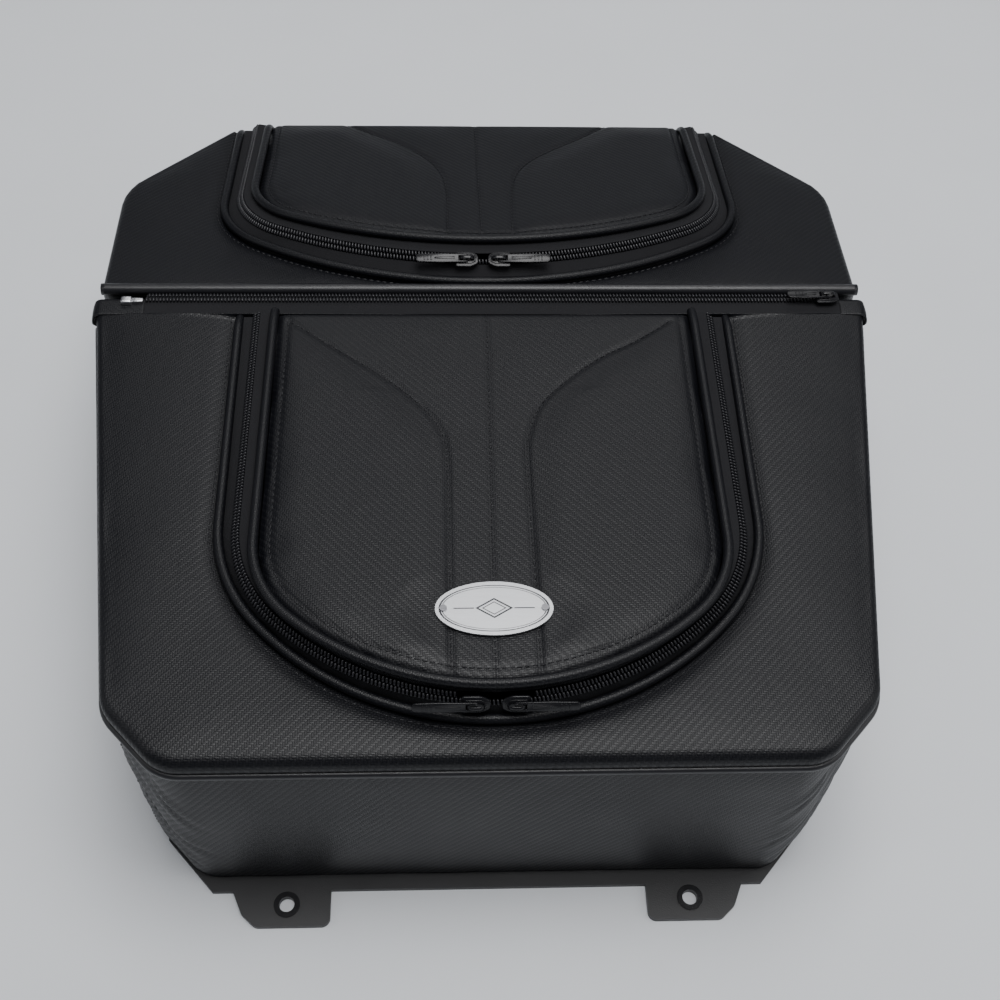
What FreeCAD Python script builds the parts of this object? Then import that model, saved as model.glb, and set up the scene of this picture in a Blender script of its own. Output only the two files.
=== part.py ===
import FreeCAD, Part
import itertools
import math
import os
import Sketcher
from FreeCAD import Placement, Rotation, Vector

# A soft-sided motorcycle luggage bag on a flat base plate.
# X points right, Y points away from the front wall, Z points up.
# The origin is on the underside of the base plate, at the middle of its length and width.
# The top is two sloping sections that meet at a ridge, where the full-width main zip runs.
# "Depth" below is measured along a top section from its hinge side: from the ridge towards the
# front on the near section, and from the tail towards the ridge on the far section.

SIZES = {
    # where the two sloping top sections sit
    "ridge_y": 64.0, "ridge_height": 210.0, "near_slope": 2.42,
    "tail_y": 326.0, "tail_height": 155.0, "far_slope": 11.86,
    "near_start": 16.0, "far_start": 10.0,
    # outline shared by the top sections, walls and boards
    "front_half": 200.0, "front_depth": 357.0,
    "shoulder_half": 237.0, "shoulder_depth": 318.0,
    "ridge_half": 280.0, "ridge_gap": 9.0,
    "hip_half": 288.0, "hip_depth": 101.0,
    "tail_half": 212.0, "tail_gap": 2.0, "lid_depth": 257.0,
    "corner_round": 30.0, "corner_strip": 6.0,
    # base plate and its two mounting tabs
    "base_thick": 4.0, "base_front": 299.0, "base_front_half": 192.0,
    "base_corner_half": 226.0, "base_corner_y": 261.0, "base_ridge_half": 272.0,
    "base_hip_half": 280.0, "base_hip_y": 227.0, "base_tail_half": 206.0, "base_tail": 315.0,
    "tab_inner": 110.0, "tab_tip": 161.0, "tab_mid": 171.0, "tab_outer": 178.0,
    "tab_reach": 324.0, "tab_mid_reach": 315.0, "tab_round": 6.0,
    "tab_hole_x": 140.0, "tab_hole_y": 309.0, "tab_hole_radius": 5.3,
    "washer_radius": 9.0, "washer_thick": 1.2,
    # floor board and the rivets that hold it to the plate
    "floor_thick": 3.0, "floor_inset": 16.0,
    "rivet_x": 150.0, "rivet_y": 235.0, "rivet_radius": 2.4, "rivet_hole_radius": 2.5,
    "rivet_head_radius": 5.0, "rivet_head_thick": 1.5,
    # walls: padded outer wall, then a stiff board
    "wall_inset": 4.0, "wall_thick": 8.0, "board_thick": 3.0, "soft_gap": 0.3,
    "panel_thick": 12.0, "beyond": 500.0,
    # seams and pipings
    "piping_radius": 3.0, "bead_radius": 2.4, "lid_bead_radius": 3.5,
    "bead_inset": 0.3, "bead_start": 29.0, "bead_end_gap": 4.0,
    # near pocket: three U paths, seen square on to the panel
    "near_outer_half": 176.0, "near_outer_leg": 174.0,
    "near_outer_side": 110.0, "near_outer_nose": 197.6,
    "near_coil_half": 163.0, "near_coil_leg": 184.0,
    "near_coil_side": 95.0, "near_coil_nose": 191.6,
    "near_inner_half": 150.0, "near_inner_leg": 199.0,
    "near_inner_side": 75.0, "near_inner_nose": 189.0,
    "near_coil_lift": 5.5, "near_coil_rise": 1.8,
    "near_inner_lift": 10.8, "near_inner_rise": 3.03,
    "near_band_tilt": 63.0, "near_slider_off": -1.0, "near_slider_lift": 2.0,
    # far pocket
    "far_outer_half": 203.0, "far_outer_leg": 122.0,
    "far_outer_side": 70.0, "far_outer_nose": 301.6,
    "far_coil_half": 190.0, "far_coil_leg": 120.0,
    "far_coil_side": 66.0, "far_coil_nose": 309.1,
    "far_inner_half": 178.0, "far_inner_leg": 117.0,
    "far_inner_side": 60.0, "far_inner_nose": 314.6,
    "far_coil_lift": 5.3, "far_coil_rise": 2.0,
    "far_inner_lift": 10.5, "far_inner_rise": 3.15,
    "far_band_tilt": 34.0, "far_slider_off": -2.0, "far_slider_lift": 2.5,
    # pocket parts common to both
    "outer_piping_lift": 3.2, "coil_radius": 1.7, "coil_spread": 1.35, "coil_stagger": 1.45,
    "tape_edge": 2.9, "tape_step": 3.1, "tape_plan_thick": 0.7, "tape_thick": 0.5,
    "tape_outer_inset": 3.3, "tape_outer_drop": 1.0, "tape_inner_grow": 0.3,
    "tape_inner_drop": 3.7,
    "flap_inset": 3.7, "flap_base": 1.5, "flap_lift": 11.6, "flap_block": 40.0,
    "flap_far": 400.0, "flap_ceiling": 60.0, "slider_clear_half": 22.0,
    "tray_inset": 1.0, "tray_wall": 2.0, "near_tray_depth": 30.0, "far_tray_depth": 25.0,
    "tray_top": 0.6, "far_tray_start": 30.0, "trim_half": 320.0,
    # zip sliders and their pulls
    "slider_half_length": 8.5, "slider_half_width": 6.0, "slider_nose_half": 3.2,
    "slider_shoulder": 3.0, "slider_float": 0.35, "slider_thick": 2.0,
    "bridge_foot": 5.0, "bridge_top": 3.5, "bridge_low": 2.0, "bridge_high": 6.0,
    "bridge_width": 3.0, "pivot_height": 4.0, "bore_radius": 1.15, "bar_radius": 1.05,
    "slider_x": 12.0, "pull_reach": 38.0, "pull_half": 3.6, "pull_slot": 1.9,
    "pull_heel": 1.2, "pull_window": 5.5, "pull_thick": 1.5, "main_pull_reach": 30.0,
    "pull_tip_round": 2.4, "pull_tip_reach": 0.5,
    # main zip along the ridge
    "main_coil_left": 245.0, "main_coil_right": 262.0, "lid_coil_right": 242.0,
    "main_coil_width": 4.0, "main_coil_height": 3.0, "main_coil_shift": 1.5,
    "main_tape_width": 14.5, "main_tape_low": 0.1, "main_tape_thick": 0.8,
    "lid_tape_front": 264.4, "lid_bead_depth": 255.0, "lid_bead_lift": 4.7,
    "main_slider_x": 252.5, "main_slider_shift": 0.8, "main_slider_lift": 4.0,
    "stop_length": 17.0, "stop_width": 7.0, "stop_height": 5.0, "stop_gap": 0.5,
    "tail_width": 26.0, "tail_drop": 30.0, "tail_thick": 2.0, "tail_stand_off": 0.8,
    "tail_toe": 4.0,
    # oval plate on the near flap
    "plate_half_long": 36.0, "plate_half_short": 19.0, "plate_thick": 1.2,
    "plate_depth": 268.0, "plate_float": 0.3, "plate_rivet_x": 31.0, "plate_rivet_radius": 2.3,
    "plate_rivet_thick": 1.0, "plate_hole_radius": 1.2,
}

doc = FreeCAD.newDocument("luggage_bag")
dims = doc.addObject("Spreadsheet::Sheet", "dims")
rows = itertools.count(1)
SUB_PARTS = []


def add_cell(alias, number):
    """Put one size on the sheet, under its own name."""
    row = next(rows)
    dims.set(f"A{row}", alias)
    dims.set(f"B{row}", str(round(number, 4)))
    dims.setAlias(f"B{row}", alias)


def size(alias):
    """The number in one cell of the sheet."""
    return float(dims.get(alias))


for cell, value in SIZES.items():
    add_cell(cell, value)
doc.recompute()

# Sizes that follow from others.
DERIVED = {
    # corners of the top panels, measured from the open end of their pocket
    "near_front": size("front_depth") - size("near_start"),
    "near_shoulder": size("shoulder_depth") - size("near_start"),
    "near_ridge": size("near_start") - size("ridge_gap"),
    "far_front": size("lid_depth") - size("far_start"),
    "far_hip": size("hip_depth") - size("far_start"),
    "far_tail": size("far_start") - size("tail_gap"),
    # trays
    "tray_inner_inset": size("tray_inset") + size("tray_wall"),
    "tray_short": size("far_tray_start") - size("far_start"),
    # the arch of a slider, measured from the underside of its plate
    "arch_low": size("bridge_low") - size("slider_float"),
    "arch_high": size("bridge_high") - size("slider_float"),
    "arch_bore": size("pivot_height") - size("slider_float"),
}
for side in ("near", "far"):
    climb = math.tan(math.radians(size(f"{side}_inner_rise")))
    level = size("flap_lift") - size("flap_base")
    DERIVED[f"{side}_flap_heel"] = level - climb * size("tray_wall")
    DERIVED[f"{side}_flap_toe"] = level + climb * size("flap_far")
for cell, value in DERIVED.items():
    add_cell(cell, value)
doc.recompute()


def spun(degrees):
    """A turn about the X axis."""
    return Rotation(Vector(1, 0, 0), degrees)


def moved(x, y, z, rotation=Rotation()):
    """A placement from three numbers and a rotation."""
    return Placement(Vector(x, y, z), rotation)


NEAR_FRAME = moved(0, size("ridge_y"), size("ridge_height"), spun(size("near_slope")))
NEAR_SEAT = NEAR_FRAME * moved(0, -size("near_start"), 0)
FAR_FRAME = moved(0, size("tail_y"), size("tail_height"), spun(-size("far_slope")))
FAR_SEAT = FAR_FRAME * moved(0, -size("far_start"), 0)


# ---------------------------------------------------------------- sketch helpers
def new_body(label, placement):
    """An empty body that becomes one sub-part."""
    body = doc.addObject("PartDesign::Body", label)
    body.Label = label
    body.Placement = placement
    SUB_PARTS.append(body)
    return body


def new_sketch(body, name, role):
    """A sketch on one of the body's own origin planes."""
    sketch = body.newObject("Sketcher::SketchObject", body.Name + "_" + name)
    plane = next(item for item in body.Origin.OriginFeatures if item.Role == role)
    sketch.AttachmentSupport = (plane, [""])
    sketch.MapMode = "FlatFace"
    return sketch


def pin(sketch, geo, pos, axis, factor, alias):
    """Hold one coordinate of a point to a cell of the sheet."""
    ends = (-1, 1, geo, pos) if factor > 0 else (geo, pos, -1, 1)
    index = sketch.addConstraint(Sketcher.Constraint(axis, *ends, abs(factor) * size(alias)))
    sketch.setExpression(f"Constraints[{index}]", f"{abs(factor)} * dims.{alias}")


def polygon(sketch, corners):
    """A closed outline whose corners are ((factor, alias), (factor, alias)) pairs."""
    points = [Vector(fx * size(ax), fy * size(ay), 0) for (fx, ax), (fy, ay) in corners]
    first = sketch.GeometryCount
    count = len(points)
    for i in range(count):
        sketch.addGeometry(Part.LineSegment(points[i], points[(i + 1) % count]), False)
    for i in range(count):
        after = first + (i + 1) % count
        sketch.addConstraint(Sketcher.Constraint("Coincident", first + i, 2, after, 1))
        pin(sketch, first + i, 1, "DistanceX", *corners[i][0])
        pin(sketch, first + i, 1, "DistanceY", *corners[i][1])


def mirrored(half):
    """The same corners on the other side of the middle, in the order that closes the outline."""
    return half + [((-fx, ax), y) for (fx, ax), y in reversed(half)]


def circle(sketch, x, y, radius):
    """A circle held to the sheet; x and y are (factor, alias) or None for the middle."""
    cx = x[0] * size(x[1]) if x else 0.0
    cy = y[0] * size(y[1]) if y else 0.0
    round_line = Part.Circle(Vector(cx, cy, 0), Vector(0, 0, 1), size(radius))
    geo = sketch.addGeometry(round_line, False)
    index = sketch.addConstraint(Sketcher.Constraint("Radius", geo, size(radius)))
    sketch.setExpression(f"Constraints[{index}]", f"dims.{radius}")
    if x:
        pin(sketch, geo, 3, "DistanceX", *x)
    else:
        sketch.addConstraint(Sketcher.Constraint("PointOnObject", geo, 3, -2))
    if y:
        pin(sketch, geo, 3, "DistanceY", *y)
    else:
        sketch.addConstraint(Sketcher.Constraint("PointOnObject", geo, 3, -1))


class Bend:
    """A U of two legs, two side arcs and a nose arc, all tangent; the nose points to -Y."""

    def __init__(self, path, grow=0.0):
        self.half = size(path + "_half") + grow
        self.leg = size(path + "_leg")
        self.side = size(path + "_side") + grow
        self.nose = size(path + "_nose") + grow
        self.side_x = self.half - self.side
        rise = math.sqrt((self.nose - self.side) ** 2 - self.side_x ** 2)
        self.nose_y = rise - self.leg
        self.turn = math.atan2(rise, self.side_x)

    def tip(self):
        """How far the nose reaches from the open end."""
        return self.nose - self.nose_y

    def arcs(self):
        """Centre, radius, start and end angle of the three arcs, left to right."""
        left, right = Vector(-self.side_x, -self.leg, 0), Vector(self.side_x, -self.leg, 0)
        middle = Vector(0, self.nose_y, 0)
        a, b = math.pi + self.turn, 2 * math.pi - self.turn
        return [(left, self.side, math.pi, a), (middle, self.nose, a, b),
                (right, self.side, b, 2 * math.pi)]

    def curves(self):
        """The five pieces of the U as geometry."""
        up = Vector(0, 0, 1)
        legs = [Part.LineSegment(Vector(-self.half, 0, 0), Vector(-self.half, -self.leg, 0)),
                Part.LineSegment(Vector(self.half, -self.leg, 0), Vector(self.half, 0, 0))]
        arcs = [Part.ArcOfCircle(Part.Circle(c, up, r), a, b) for c, r, a, b in self.arcs()]
        return [legs[0]] + arcs + [legs[1]]


def u_outline(sketch, path, grow=None, closed=True):
    """Draw a U in a sketch, held to the four cells of its path."""
    sign, alias = grow if grow else (0, None)
    bend = Bend(path, sign * size(alias) if alias else 0.0)
    more = f" + {sign} * dims.{alias}" if alias else ""
    g = sketch.GeometryCount
    for curve in bend.curves():
        sketch.addGeometry(curve, False)
    for i in range(4):
        sketch.addConstraint(Sketcher.Constraint("Tangent", g + i, 2, g + i + 1, 1))
    sketch.addConstraint(Sketcher.Constraint("Vertical", g))
    sketch.addConstraint(Sketcher.Constraint("Vertical", g + 4))
    sketch.addConstraint(Sketcher.Constraint("PointOnObject", g, 1, -1))
    sketch.addConstraint(Sketcher.Constraint("PointOnObject", g + 4, 2, -1))
    sketch.addConstraint(Sketcher.Constraint("Equal", g + 1, g + 3))
    sketch.addConstraint(Sketcher.Constraint("PointOnObject", g + 2, 3, -2))
    held = [(("DistanceX", g, 1, -1, 1, bend.half), f"dims.{path}_half{more}"),
            (("DistanceX", -1, 1, g + 4, 2, bend.half), f"dims.{path}_half{more}"),
            (("DistanceY", g, 2, -1, 1, bend.leg), f"dims.{path}_leg"),
            (("Radius", g + 1, bend.side), f"dims.{path}_side{more}"),
            (("Radius", g + 2, bend.nose), f"dims.{path}_nose{more}")]
    for arguments, expression in held:
        index = sketch.addConstraint(Sketcher.Constraint(*arguments))
        sketch.setExpression(f"Constraints[{index}]", expression)
    if closed:
        end, start = Vector(bend.half, 0, 0), Vector(-bend.half, 0, 0)
        sketch.addGeometry(Part.LineSegment(end, start), False)
        sketch.addConstraint(Sketcher.Constraint("Coincident", g + 4, 2, g + 5, 1))
        sketch.addConstraint(Sketcher.Constraint("Coincident", g + 5, 2, g, 1))


def pad(body, sketch, name, length, back=False, both=False):
    """Raise a sketch by a length taken from the sheet."""
    feature = body.newObject("PartDesign::Pad", body.Name + "_" + name)
    feature.Profile = sketch
    feature.setExpression("Length", length)
    feature.Reversed = back
    feature.Midplane = both
    doc.recompute()
    return feature


def cut(body, sketch, name, length=None, back=False, both=False):
    """Cut a sketch out of the body, right through when no length is given."""
    before = body.Shape.Volume
    feature = body.newObject("PartDesign::Pocket", body.Name + "_" + name)
    feature.Profile = sketch
    feature.Midplane = both
    feature.Reversed = back
    if length:
        feature.setExpression("Length", length)
    else:
        feature.Type = "ThroughAll"
    doc.recompute()
    if body.Shape.Volume > before - 1e-3:
        raise RuntimeError(f"{body.Label}: {name} cuts nothing")
    return feature


def round_corners(body, feature, name, points, radius, reach=2.0):
    """Fillet the upright edges that stand at the given points of the outline."""
    names = []
    for number, edge in enumerate(feature.Shape.Edges, start=1):
        a, b = edge.Vertexes[0].Point, edge.Vertexes[-1].Point
        upright = abs(a.x - b.x) < 1e-6 and abs(a.y - b.y) < 1e-6
        if upright and any(math.hypot(a.x - x, a.y - y) < reach for x, y in points):
            names.append(f"Edge{number}")
    fillet = body.newObject("PartDesign::Fillet", body.Name + "_" + name)
    fillet.Base = (feature, names)
    fillet.setExpression("Radius", f"dims.{radius}")
    doc.recompute()
    return fillet


def feature_part(label, shape, placement=Placement()):
    """A sub-part whose shape is made by Part functions."""
    part = doc.addObject("Part::Feature", label)
    part.Label = label
    part.Shape = shape
    part.Placement = placement
    SUB_PARTS.append(part)
    return part


# ---------------------------------------------------------------- base plate and floor
def base_plate():
    """Flat plate with two forward tabs; each tab has a bolt hole."""
    body = new_body("base_plate", Placement())
    front = (-1, "base_front")
    half = [((1, "tab_inner"), front), ((1, "tab_inner"), (-1, "tab_reach")),
            ((1, "tab_tip"), (-1, "tab_reach")), ((1, "tab_mid"), (-1, "tab_mid_reach")),
            ((1, "tab_outer"), front), ((1, "base_front_half"), front),
            ((1, "base_corner_half"), (-1, "base_corner_y")),
            ((1, "base_ridge_half"), (1, "ridge_y")), ((1, "base_hip_half"), (1, "base_hip_y")),
            ((1, "base_tail_half"), (1, "base_tail"))]
    outline = new_sketch(body, "outline", "XY_Plane")
    polygon(outline, mirrored(half))
    plate = pad(body, outline, "plate", "dims.base_thick")
    tips = [(side * size(x), -size(y)) for side in (-1, 1) for x, y in
            (("tab_inner", "tab_reach"), ("tab_tip", "tab_reach"), ("tab_mid", "tab_mid_reach"))]
    round_corners(body, plate, "tab_corners", tips, "tab_round")
    holes = new_sketch(body, "holes", "XY_Plane")
    for side in (-1, 1):
        circle(holes, (side, "tab_hole_x"), (-1, "tab_hole_y"), "tab_hole_radius")
        for y in ((-1, "rivet_y"), None, (1, "rivet_y")):
            circle(holes, (side, "rivet_x"), y, "rivet_hole_radius")
    cut(body, holes, "drilled", back=True)


def tab_washers():
    """A plain washer on top of each mounting tab."""
    rings = []
    for side in (-1, 1):
        seat = Vector(side * size("tab_hole_x"), -size("tab_hole_y"), size("base_thick"))
        disc = Part.makeCylinder(size("washer_radius"), size("washer_thick"), seat)
        bore = Part.makeCylinder(size("tab_hole_radius"), size("washer_thick"), seat)
        rings.append(disc.cut(bore))
    feature_part("tab_washers", Part.makeCompound(rings))


def outline_points():
    """Corners of the bag seen from above, right-hand side from the front to the tail."""
    near, far = math.cos(math.radians(size("near_slope"))), math.cos(math.radians(size("far_slope")))
    return [(size("front_half"), size("ridge_y") - near * size("front_depth")),
            (size("shoulder_half"), size("ridge_y") - near * size("shoulder_depth")),
            (size("ridge_half"), size("ridge_y")),
            (size("hip_half"), size("tail_y") - far * size("hip_depth")),
            (size("tail_half"), size("tail_y") - far * size("tail_gap"))]


def rounded_edges(points, radius):
    """Lines joined by tangent arcs through a row of points."""
    edges, start = [], points[0]
    for before, corner, after in zip(points, points[1:], points[2:]):
        back = (before - corner).normalize()
        ahead = (after - corner).normalize()
        half_turn = back.getAngle(ahead) / 2
        run = radius / math.tan(half_turn)
        a, b = corner + back * run, corner + ahead * run
        middle = (back + ahead).normalize()
        centre = corner + middle * (radius / math.sin(half_turn))
        edges.append(Part.makeLine(start, a))
        edges.append(Part.Arc(a, centre - middle * radius, b).toShape())
        start = b
    edges.append(Part.makeLine(start, points[-1]))
    return edges


def outline_face(inset):
    """The bag's outline with rounded corners as a face, moved inwards."""
    half = outline_points()
    tail = Vector(0, half[-1][1], 0)
    left = [Vector(-x, y, 0) for x, y in reversed(half)]
    right = [Vector(x, y, 0) for x, y in half]
    wire = Part.Wire(rounded_edges([tail] + left + right + [tail], size("corner_round")))
    return Part.Face(wire.makeOffset2D(-inset, 2))


def floor_board():
    """Stiff board that lines the floor, riveted down to the plate."""
    face = outline_face(size("floor_inset"))
    board = face.extrude(Vector(0, 0, size("floor_thick")))
    for side in (-1, 1):
        for y in (-size("rivet_y"), 0, size("rivet_y")):
            spot = Vector(side * size("rivet_x"), y, 0)
            board = board.cut(Part.makeCylinder(size("rivet_hole_radius"), 10, spot))
    feature_part("floor_board", board, moved(0, 0, size("base_thick")))


def floor_rivets():
    """Six rivets through the board and the plate, flush underneath."""
    rivets = []
    seat = size("base_thick") + size("floor_thick")
    for side in (-1, 1):
        for y in (-size("rivet_y"), 0, size("rivet_y")):
            spot = Vector(side * size("rivet_x"), y, 0)
            shank = Part.makeCylinder(size("rivet_radius"), seat, spot)
            top = spot + Vector(0, 0, seat)
            head = Part.makeCylinder(size("rivet_head_radius"), size("rivet_head_thick"), top)
            rivets.append(shank.fuse(head).removeSplitter())
    feature_part("floor_rivets", Part.makeCompound(rivets))


# ---------------------------------------------------------------- walls and boards
def roof_block():
    """Everything above the undersides of the two top sections."""
    drop, far = size("panel_thick") + size("soft_gap"), size("beyond")
    ends = [NEAR_FRAME.multVec(Vector(0, -far, -drop)), NEAR_FRAME.multVec(Vector(0, 0, -drop)),
            FAR_FRAME.multVec(Vector(0, -size("lid_depth"), -drop)),
            FAR_FRAME.multVec(Vector(0, far, -drop))]
    profile = [Vector(-far, p.y, p.z) for p in ends]
    profile += [Vector(-far, ends[-1].y, far), Vector(-far, ends[0].y, far)]
    return Part.Face(Part.makePolygon(profile + profile[:1])).extrude(Vector(2 * far, 0, 0))


def wall_ring(inset, thick):
    """Ring of wall from the base plate up to the undersides of the top sections."""
    ring = outline_face(inset).cut(outline_face(inset + thick))
    solid = ring.extrude(Vector(0, 0, size("ridge_height")))
    solid.translate(Vector(0, 0, size("base_thick") + size("soft_gap")))
    return solid.cut(roof_block())


def wall_set(name, inset, thick):
    """Four separate pieces of one ring: front and back with their corners, left and right."""
    ring = wall_ring(inset, thick)
    front_y = outline_points()[1][1] + size("corner_strip")
    back_y = outline_points()[3][1] - size("corner_strip")
    gap, far = size("soft_gap"), size("beyond")
    long_side = back_y - front_y - 2 * gap
    blocks = {
        "front": Part.makeBox(2 * far, far, far, Vector(-far, front_y - far, 0)),
        "back": Part.makeBox(2 * far, far, far, Vector(-far, back_y, 0)),
        "left": Part.makeBox(far, long_side, far, Vector(-far, front_y + gap, 0)),
        "right": Part.makeBox(far, long_side, far, Vector(0, front_y + gap, 0)),
    }
    for side, block in blocks.items():
        feature_part(f"{side}_{name}", ring.common(block).Solids[0])


# ---------------------------------------------------------------- top sections
NEAR_CORNERS = [((1, "front_half"), (-1, "near_front")),
                ((1, "shoulder_half"), (-1, "near_shoulder")),
                ((1, "ridge_half"), (1, "near_ridge"))]
FAR_CORNERS = [((1, "ridge_half"), (-1, "far_front")),
               ((1, "hip_half"), (-1, "far_hip")),
               ((1, "tail_half"), (1, "far_tail"))]


def near_panel():
    """Fixed front half of the top, with the opening of its pocket."""
    body = new_body("near_panel", NEAR_SEAT)
    outline = new_sketch(body, "outline", "XY_Plane")
    polygon(outline, mirrored(NEAR_CORNERS))
    slab = pad(body, outline, "slab", "dims.panel_thick", back=True)
    rounds = [(side * size(x), -size(y)) for side in (-1, 1)
              for x, y in (("front_half", "near_front"), ("shoulder_half", "near_shoulder"))]
    round_corners(body, slab, "corners", rounds, "corner_round")
    mouth = new_sketch(body, "mouth", "XY_Plane")
    u_outline(mouth, "near_outer")
    cut(body, mouth, "pocket_opening")


def lid_panel():
    """Far half of the top, which swings up about the tail, with the opening of its pocket."""
    body = new_body("lid_panel", FAR_SEAT)
    outline = new_sketch(body, "outline", "XY_Plane")
    polygon(outline, mirrored(FAR_CORNERS))
    slab = pad(body, outline, "slab", "dims.panel_thick", back=True)
    rounds = [(side * size("hip_half"), -size("far_hip")) for side in (-1, 1)]
    round_corners(body, slab, "corners", rounds, "corner_round")
    mouth = new_sketch(body, "mouth", "XY_Plane")
    u_outline(mouth, "far_outer")
    cut(body, mouth, "pocket_opening")


def tray(label, placement, path, depth, shorten=None):
    """Thin pan that closes a pocket underneath; the far one stops short of the tail."""
    body = new_body(label, placement)
    outside = new_sketch(body, "outside", "XY_Plane")
    u_outline(outside, path, (-1, "tray_inset"))
    pad(body, outside, "block", f"dims.{depth}", back=True)
    if shorten:
        trim = new_sketch(body, "trim", "XY_Plane")
        polygon(trim, [((-1, "trim_half"), (1, "tray_wall")), ((1, "trim_half"), (1, "tray_wall")),
                       ((1, "trim_half"), (-1, shorten)), ((-1, "trim_half"), (-1, shorten))])
        cut(body, trim, "short_end")
    inside = new_sketch(body, "inside", "XY_Plane")
    u_outline(inside, path, (-1, "tray_inner_inset"))
    cut(body, inside, "hollow", f"dims.{depth} - dims.tray_wall")


# ---------------------------------------------------------------- pocket edges
def tilted(path, grow, lift, rise):
    """Edges of a U that climbs towards its nose by a small angle."""
    place = moved(0, 0, lift, spun(-rise))
    edges = []
    for curve in Bend(path, grow).curves():
        edge = curve.toShape()
        edge.Placement = place
        edges.append(edge)
    return edges


def stations(edges):
    """Points along a U: the ends of its legs and evenly spaced points on its arcs."""
    spans = (1, 8, 12, 8, 1)
    points = []
    for edge, count in zip(edges, spans):
        first, last = edge.ParameterRange
        for i in range(count):
            points.append(edge.valueAt(first + (last - first) * i / count))
    return points + [edges[-1].valueAt(edges[-1].LastParameter)]


def ruled_ring(corners):
    """A solid that follows four U's, which are the corners of its section in order."""
    rows = [stations(edges) for edges in corners]
    sections = [Part.makePolygon(list(four) + [four[0]]) for four in zip(*rows)]
    return Part.makeLoft(sections, True, True)


def swept_round(edges, radius):
    """A round cord along tangent edges."""
    wire = Part.Wire(edges)
    start = edges[0].Vertexes[0].Point
    ahead = edges[0].tangentAt(edges[0].FirstParameter)
    ring = Part.Wire(Part.makeCircle(radius, start, ahead))
    return wire.makePipeShell([ring], True, True)


def pocket_path(side, which):
    """Lift and climb of one of a pocket's U paths."""
    if which == "outer":
        return size("outer_piping_lift"), 0.0
    return size(f"{side}_{which}_lift"), size(f"{side}_{which}_rise")


def piping(side, which, seat):
    """Round piping along the outer or inner edge of a pocket's zip."""
    lift, rise = pocket_path(side, which)
    edges = tilted(f"{side}_{which}", 0.0, lift, rise)
    feature_part(f"{side}_{which}_piping", swept_round(edges, size("piping_radius")), seat)


def coil(side, which, seat):
    """One half of a pocket's zip coil; the inner half leaves room where the sliders rest."""
    lift, rise = pocket_path(side, "coil")
    sign = 1 if which == "outer" else -1
    grow, step = sign * size("coil_spread"), -sign * size("coil_stagger")
    solid = swept_round(tilted(f"{side}_coil", grow, lift + step, rise), size("coil_radius"))
    if which == "inner":
        clear, far = size("slider_clear_half"), size("beyond")
        solid = solid.cut(Part.makeBox(2 * clear, far, far, Vector(-clear, -far, -far / 2)))
    feature_part(f"{side}_{which}_coil", solid, seat)


def tape(side, which, seat):
    """Zip tape between the piping and the coil."""
    lift, rise = pocket_path(side, "coil")
    edge, step = size("tape_edge"), size("tape_step")
    if which == "outer":
        piping_end = (f"{side}_outer", -size("tape_outer_inset"),
                      size("outer_piping_lift") - size("tape_outer_drop"), 0.0)
        coil_end = (f"{side}_coil", edge, lift - step, rise)
    else:
        inner_lift, inner_rise = pocket_path(side, "inner")
        piping_end = (f"{side}_inner", size("tape_inner_grow"),
                      inner_lift - size("tape_inner_drop"), inner_rise)
        coil_end = (f"{side}_coil", -edge, lift + step, rise)
    thin, low = size("tape_plan_thick"), size("tape_thick")
    upper = [piping_end, coil_end]
    lower = [(path, grow - thin, height - low, turn) for path, grow, height, turn in upper]
    sections = [tilted(*upper[0]), tilted(*upper[1]), tilted(*lower[1]), tilted(*lower[0])]
    feature_part(f"{side}_{which}_tape", ruled_ring(sections), seat)


def flap(side, seat):
    """Padded flap inside the zip, thin at its hinge and thick at its nose."""
    body = new_body(f"{side}_flap", seat * moved(0, 0, size("flap_base")))
    outline = new_sketch(body, "outline", "XY_Plane")
    u_outline(outline, f"{side}_inner", (-1, "flap_inset"))
    pad(body, outline, "block", "dims.flap_block")
    slope = new_sketch(body, "slope", "YZ_Plane")
    polygon(slope, [((1, "tray_wall"), (1, f"{side}_flap_heel")),
                    ((1, "tray_wall"), (1, "flap_ceiling")),
                    ((-1, "flap_far"), (1, "flap_ceiling")),
                    ((-1, "flap_far"), (1, f"{side}_flap_toe"))])
    cut(body, slope, "sloped_top", "2 * dims.beyond", both=True)


# ---------------------------------------------------------------- zip sliders and pulls
def slider(label, placement):
    """Slider plate with the arch that its pull hangs on; the zip runs along X."""
    body = new_body(label, placement)
    plate = new_sketch(body, "plate", "XY_Plane")
    polygon(plate, [((-1, "slider_half_length"), (-1, "slider_nose_half")),
                    ((-1, "slider_shoulder"), (-1, "slider_half_width")),
                    ((1, "slider_half_length"), (-1, "slider_half_width")),
                    ((1, "slider_half_length"), (1, "slider_half_width")),
                    ((-1, "slider_shoulder"), (1, "slider_half_width")),
                    ((-1, "slider_half_length"), (1, "slider_nose_half"))])
    pad(body, plate, "plate_pad", "dims.slider_thick")
    arch = new_sketch(body, "arch", "XZ_Plane")
    polygon(arch, [((-1, "bridge_foot"), (1, "arch_low")), ((1, "bridge_foot"), (1, "arch_low")),
                   ((1, "bridge_top"), (1, "arch_high")), ((-1, "bridge_top"), (1, "arch_high"))])
    circle(arch, None, (1, "arch_bore"), "bore_radius")
    pad(body, arch, "arch_pad", "dims.bridge_width", both=True)


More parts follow.
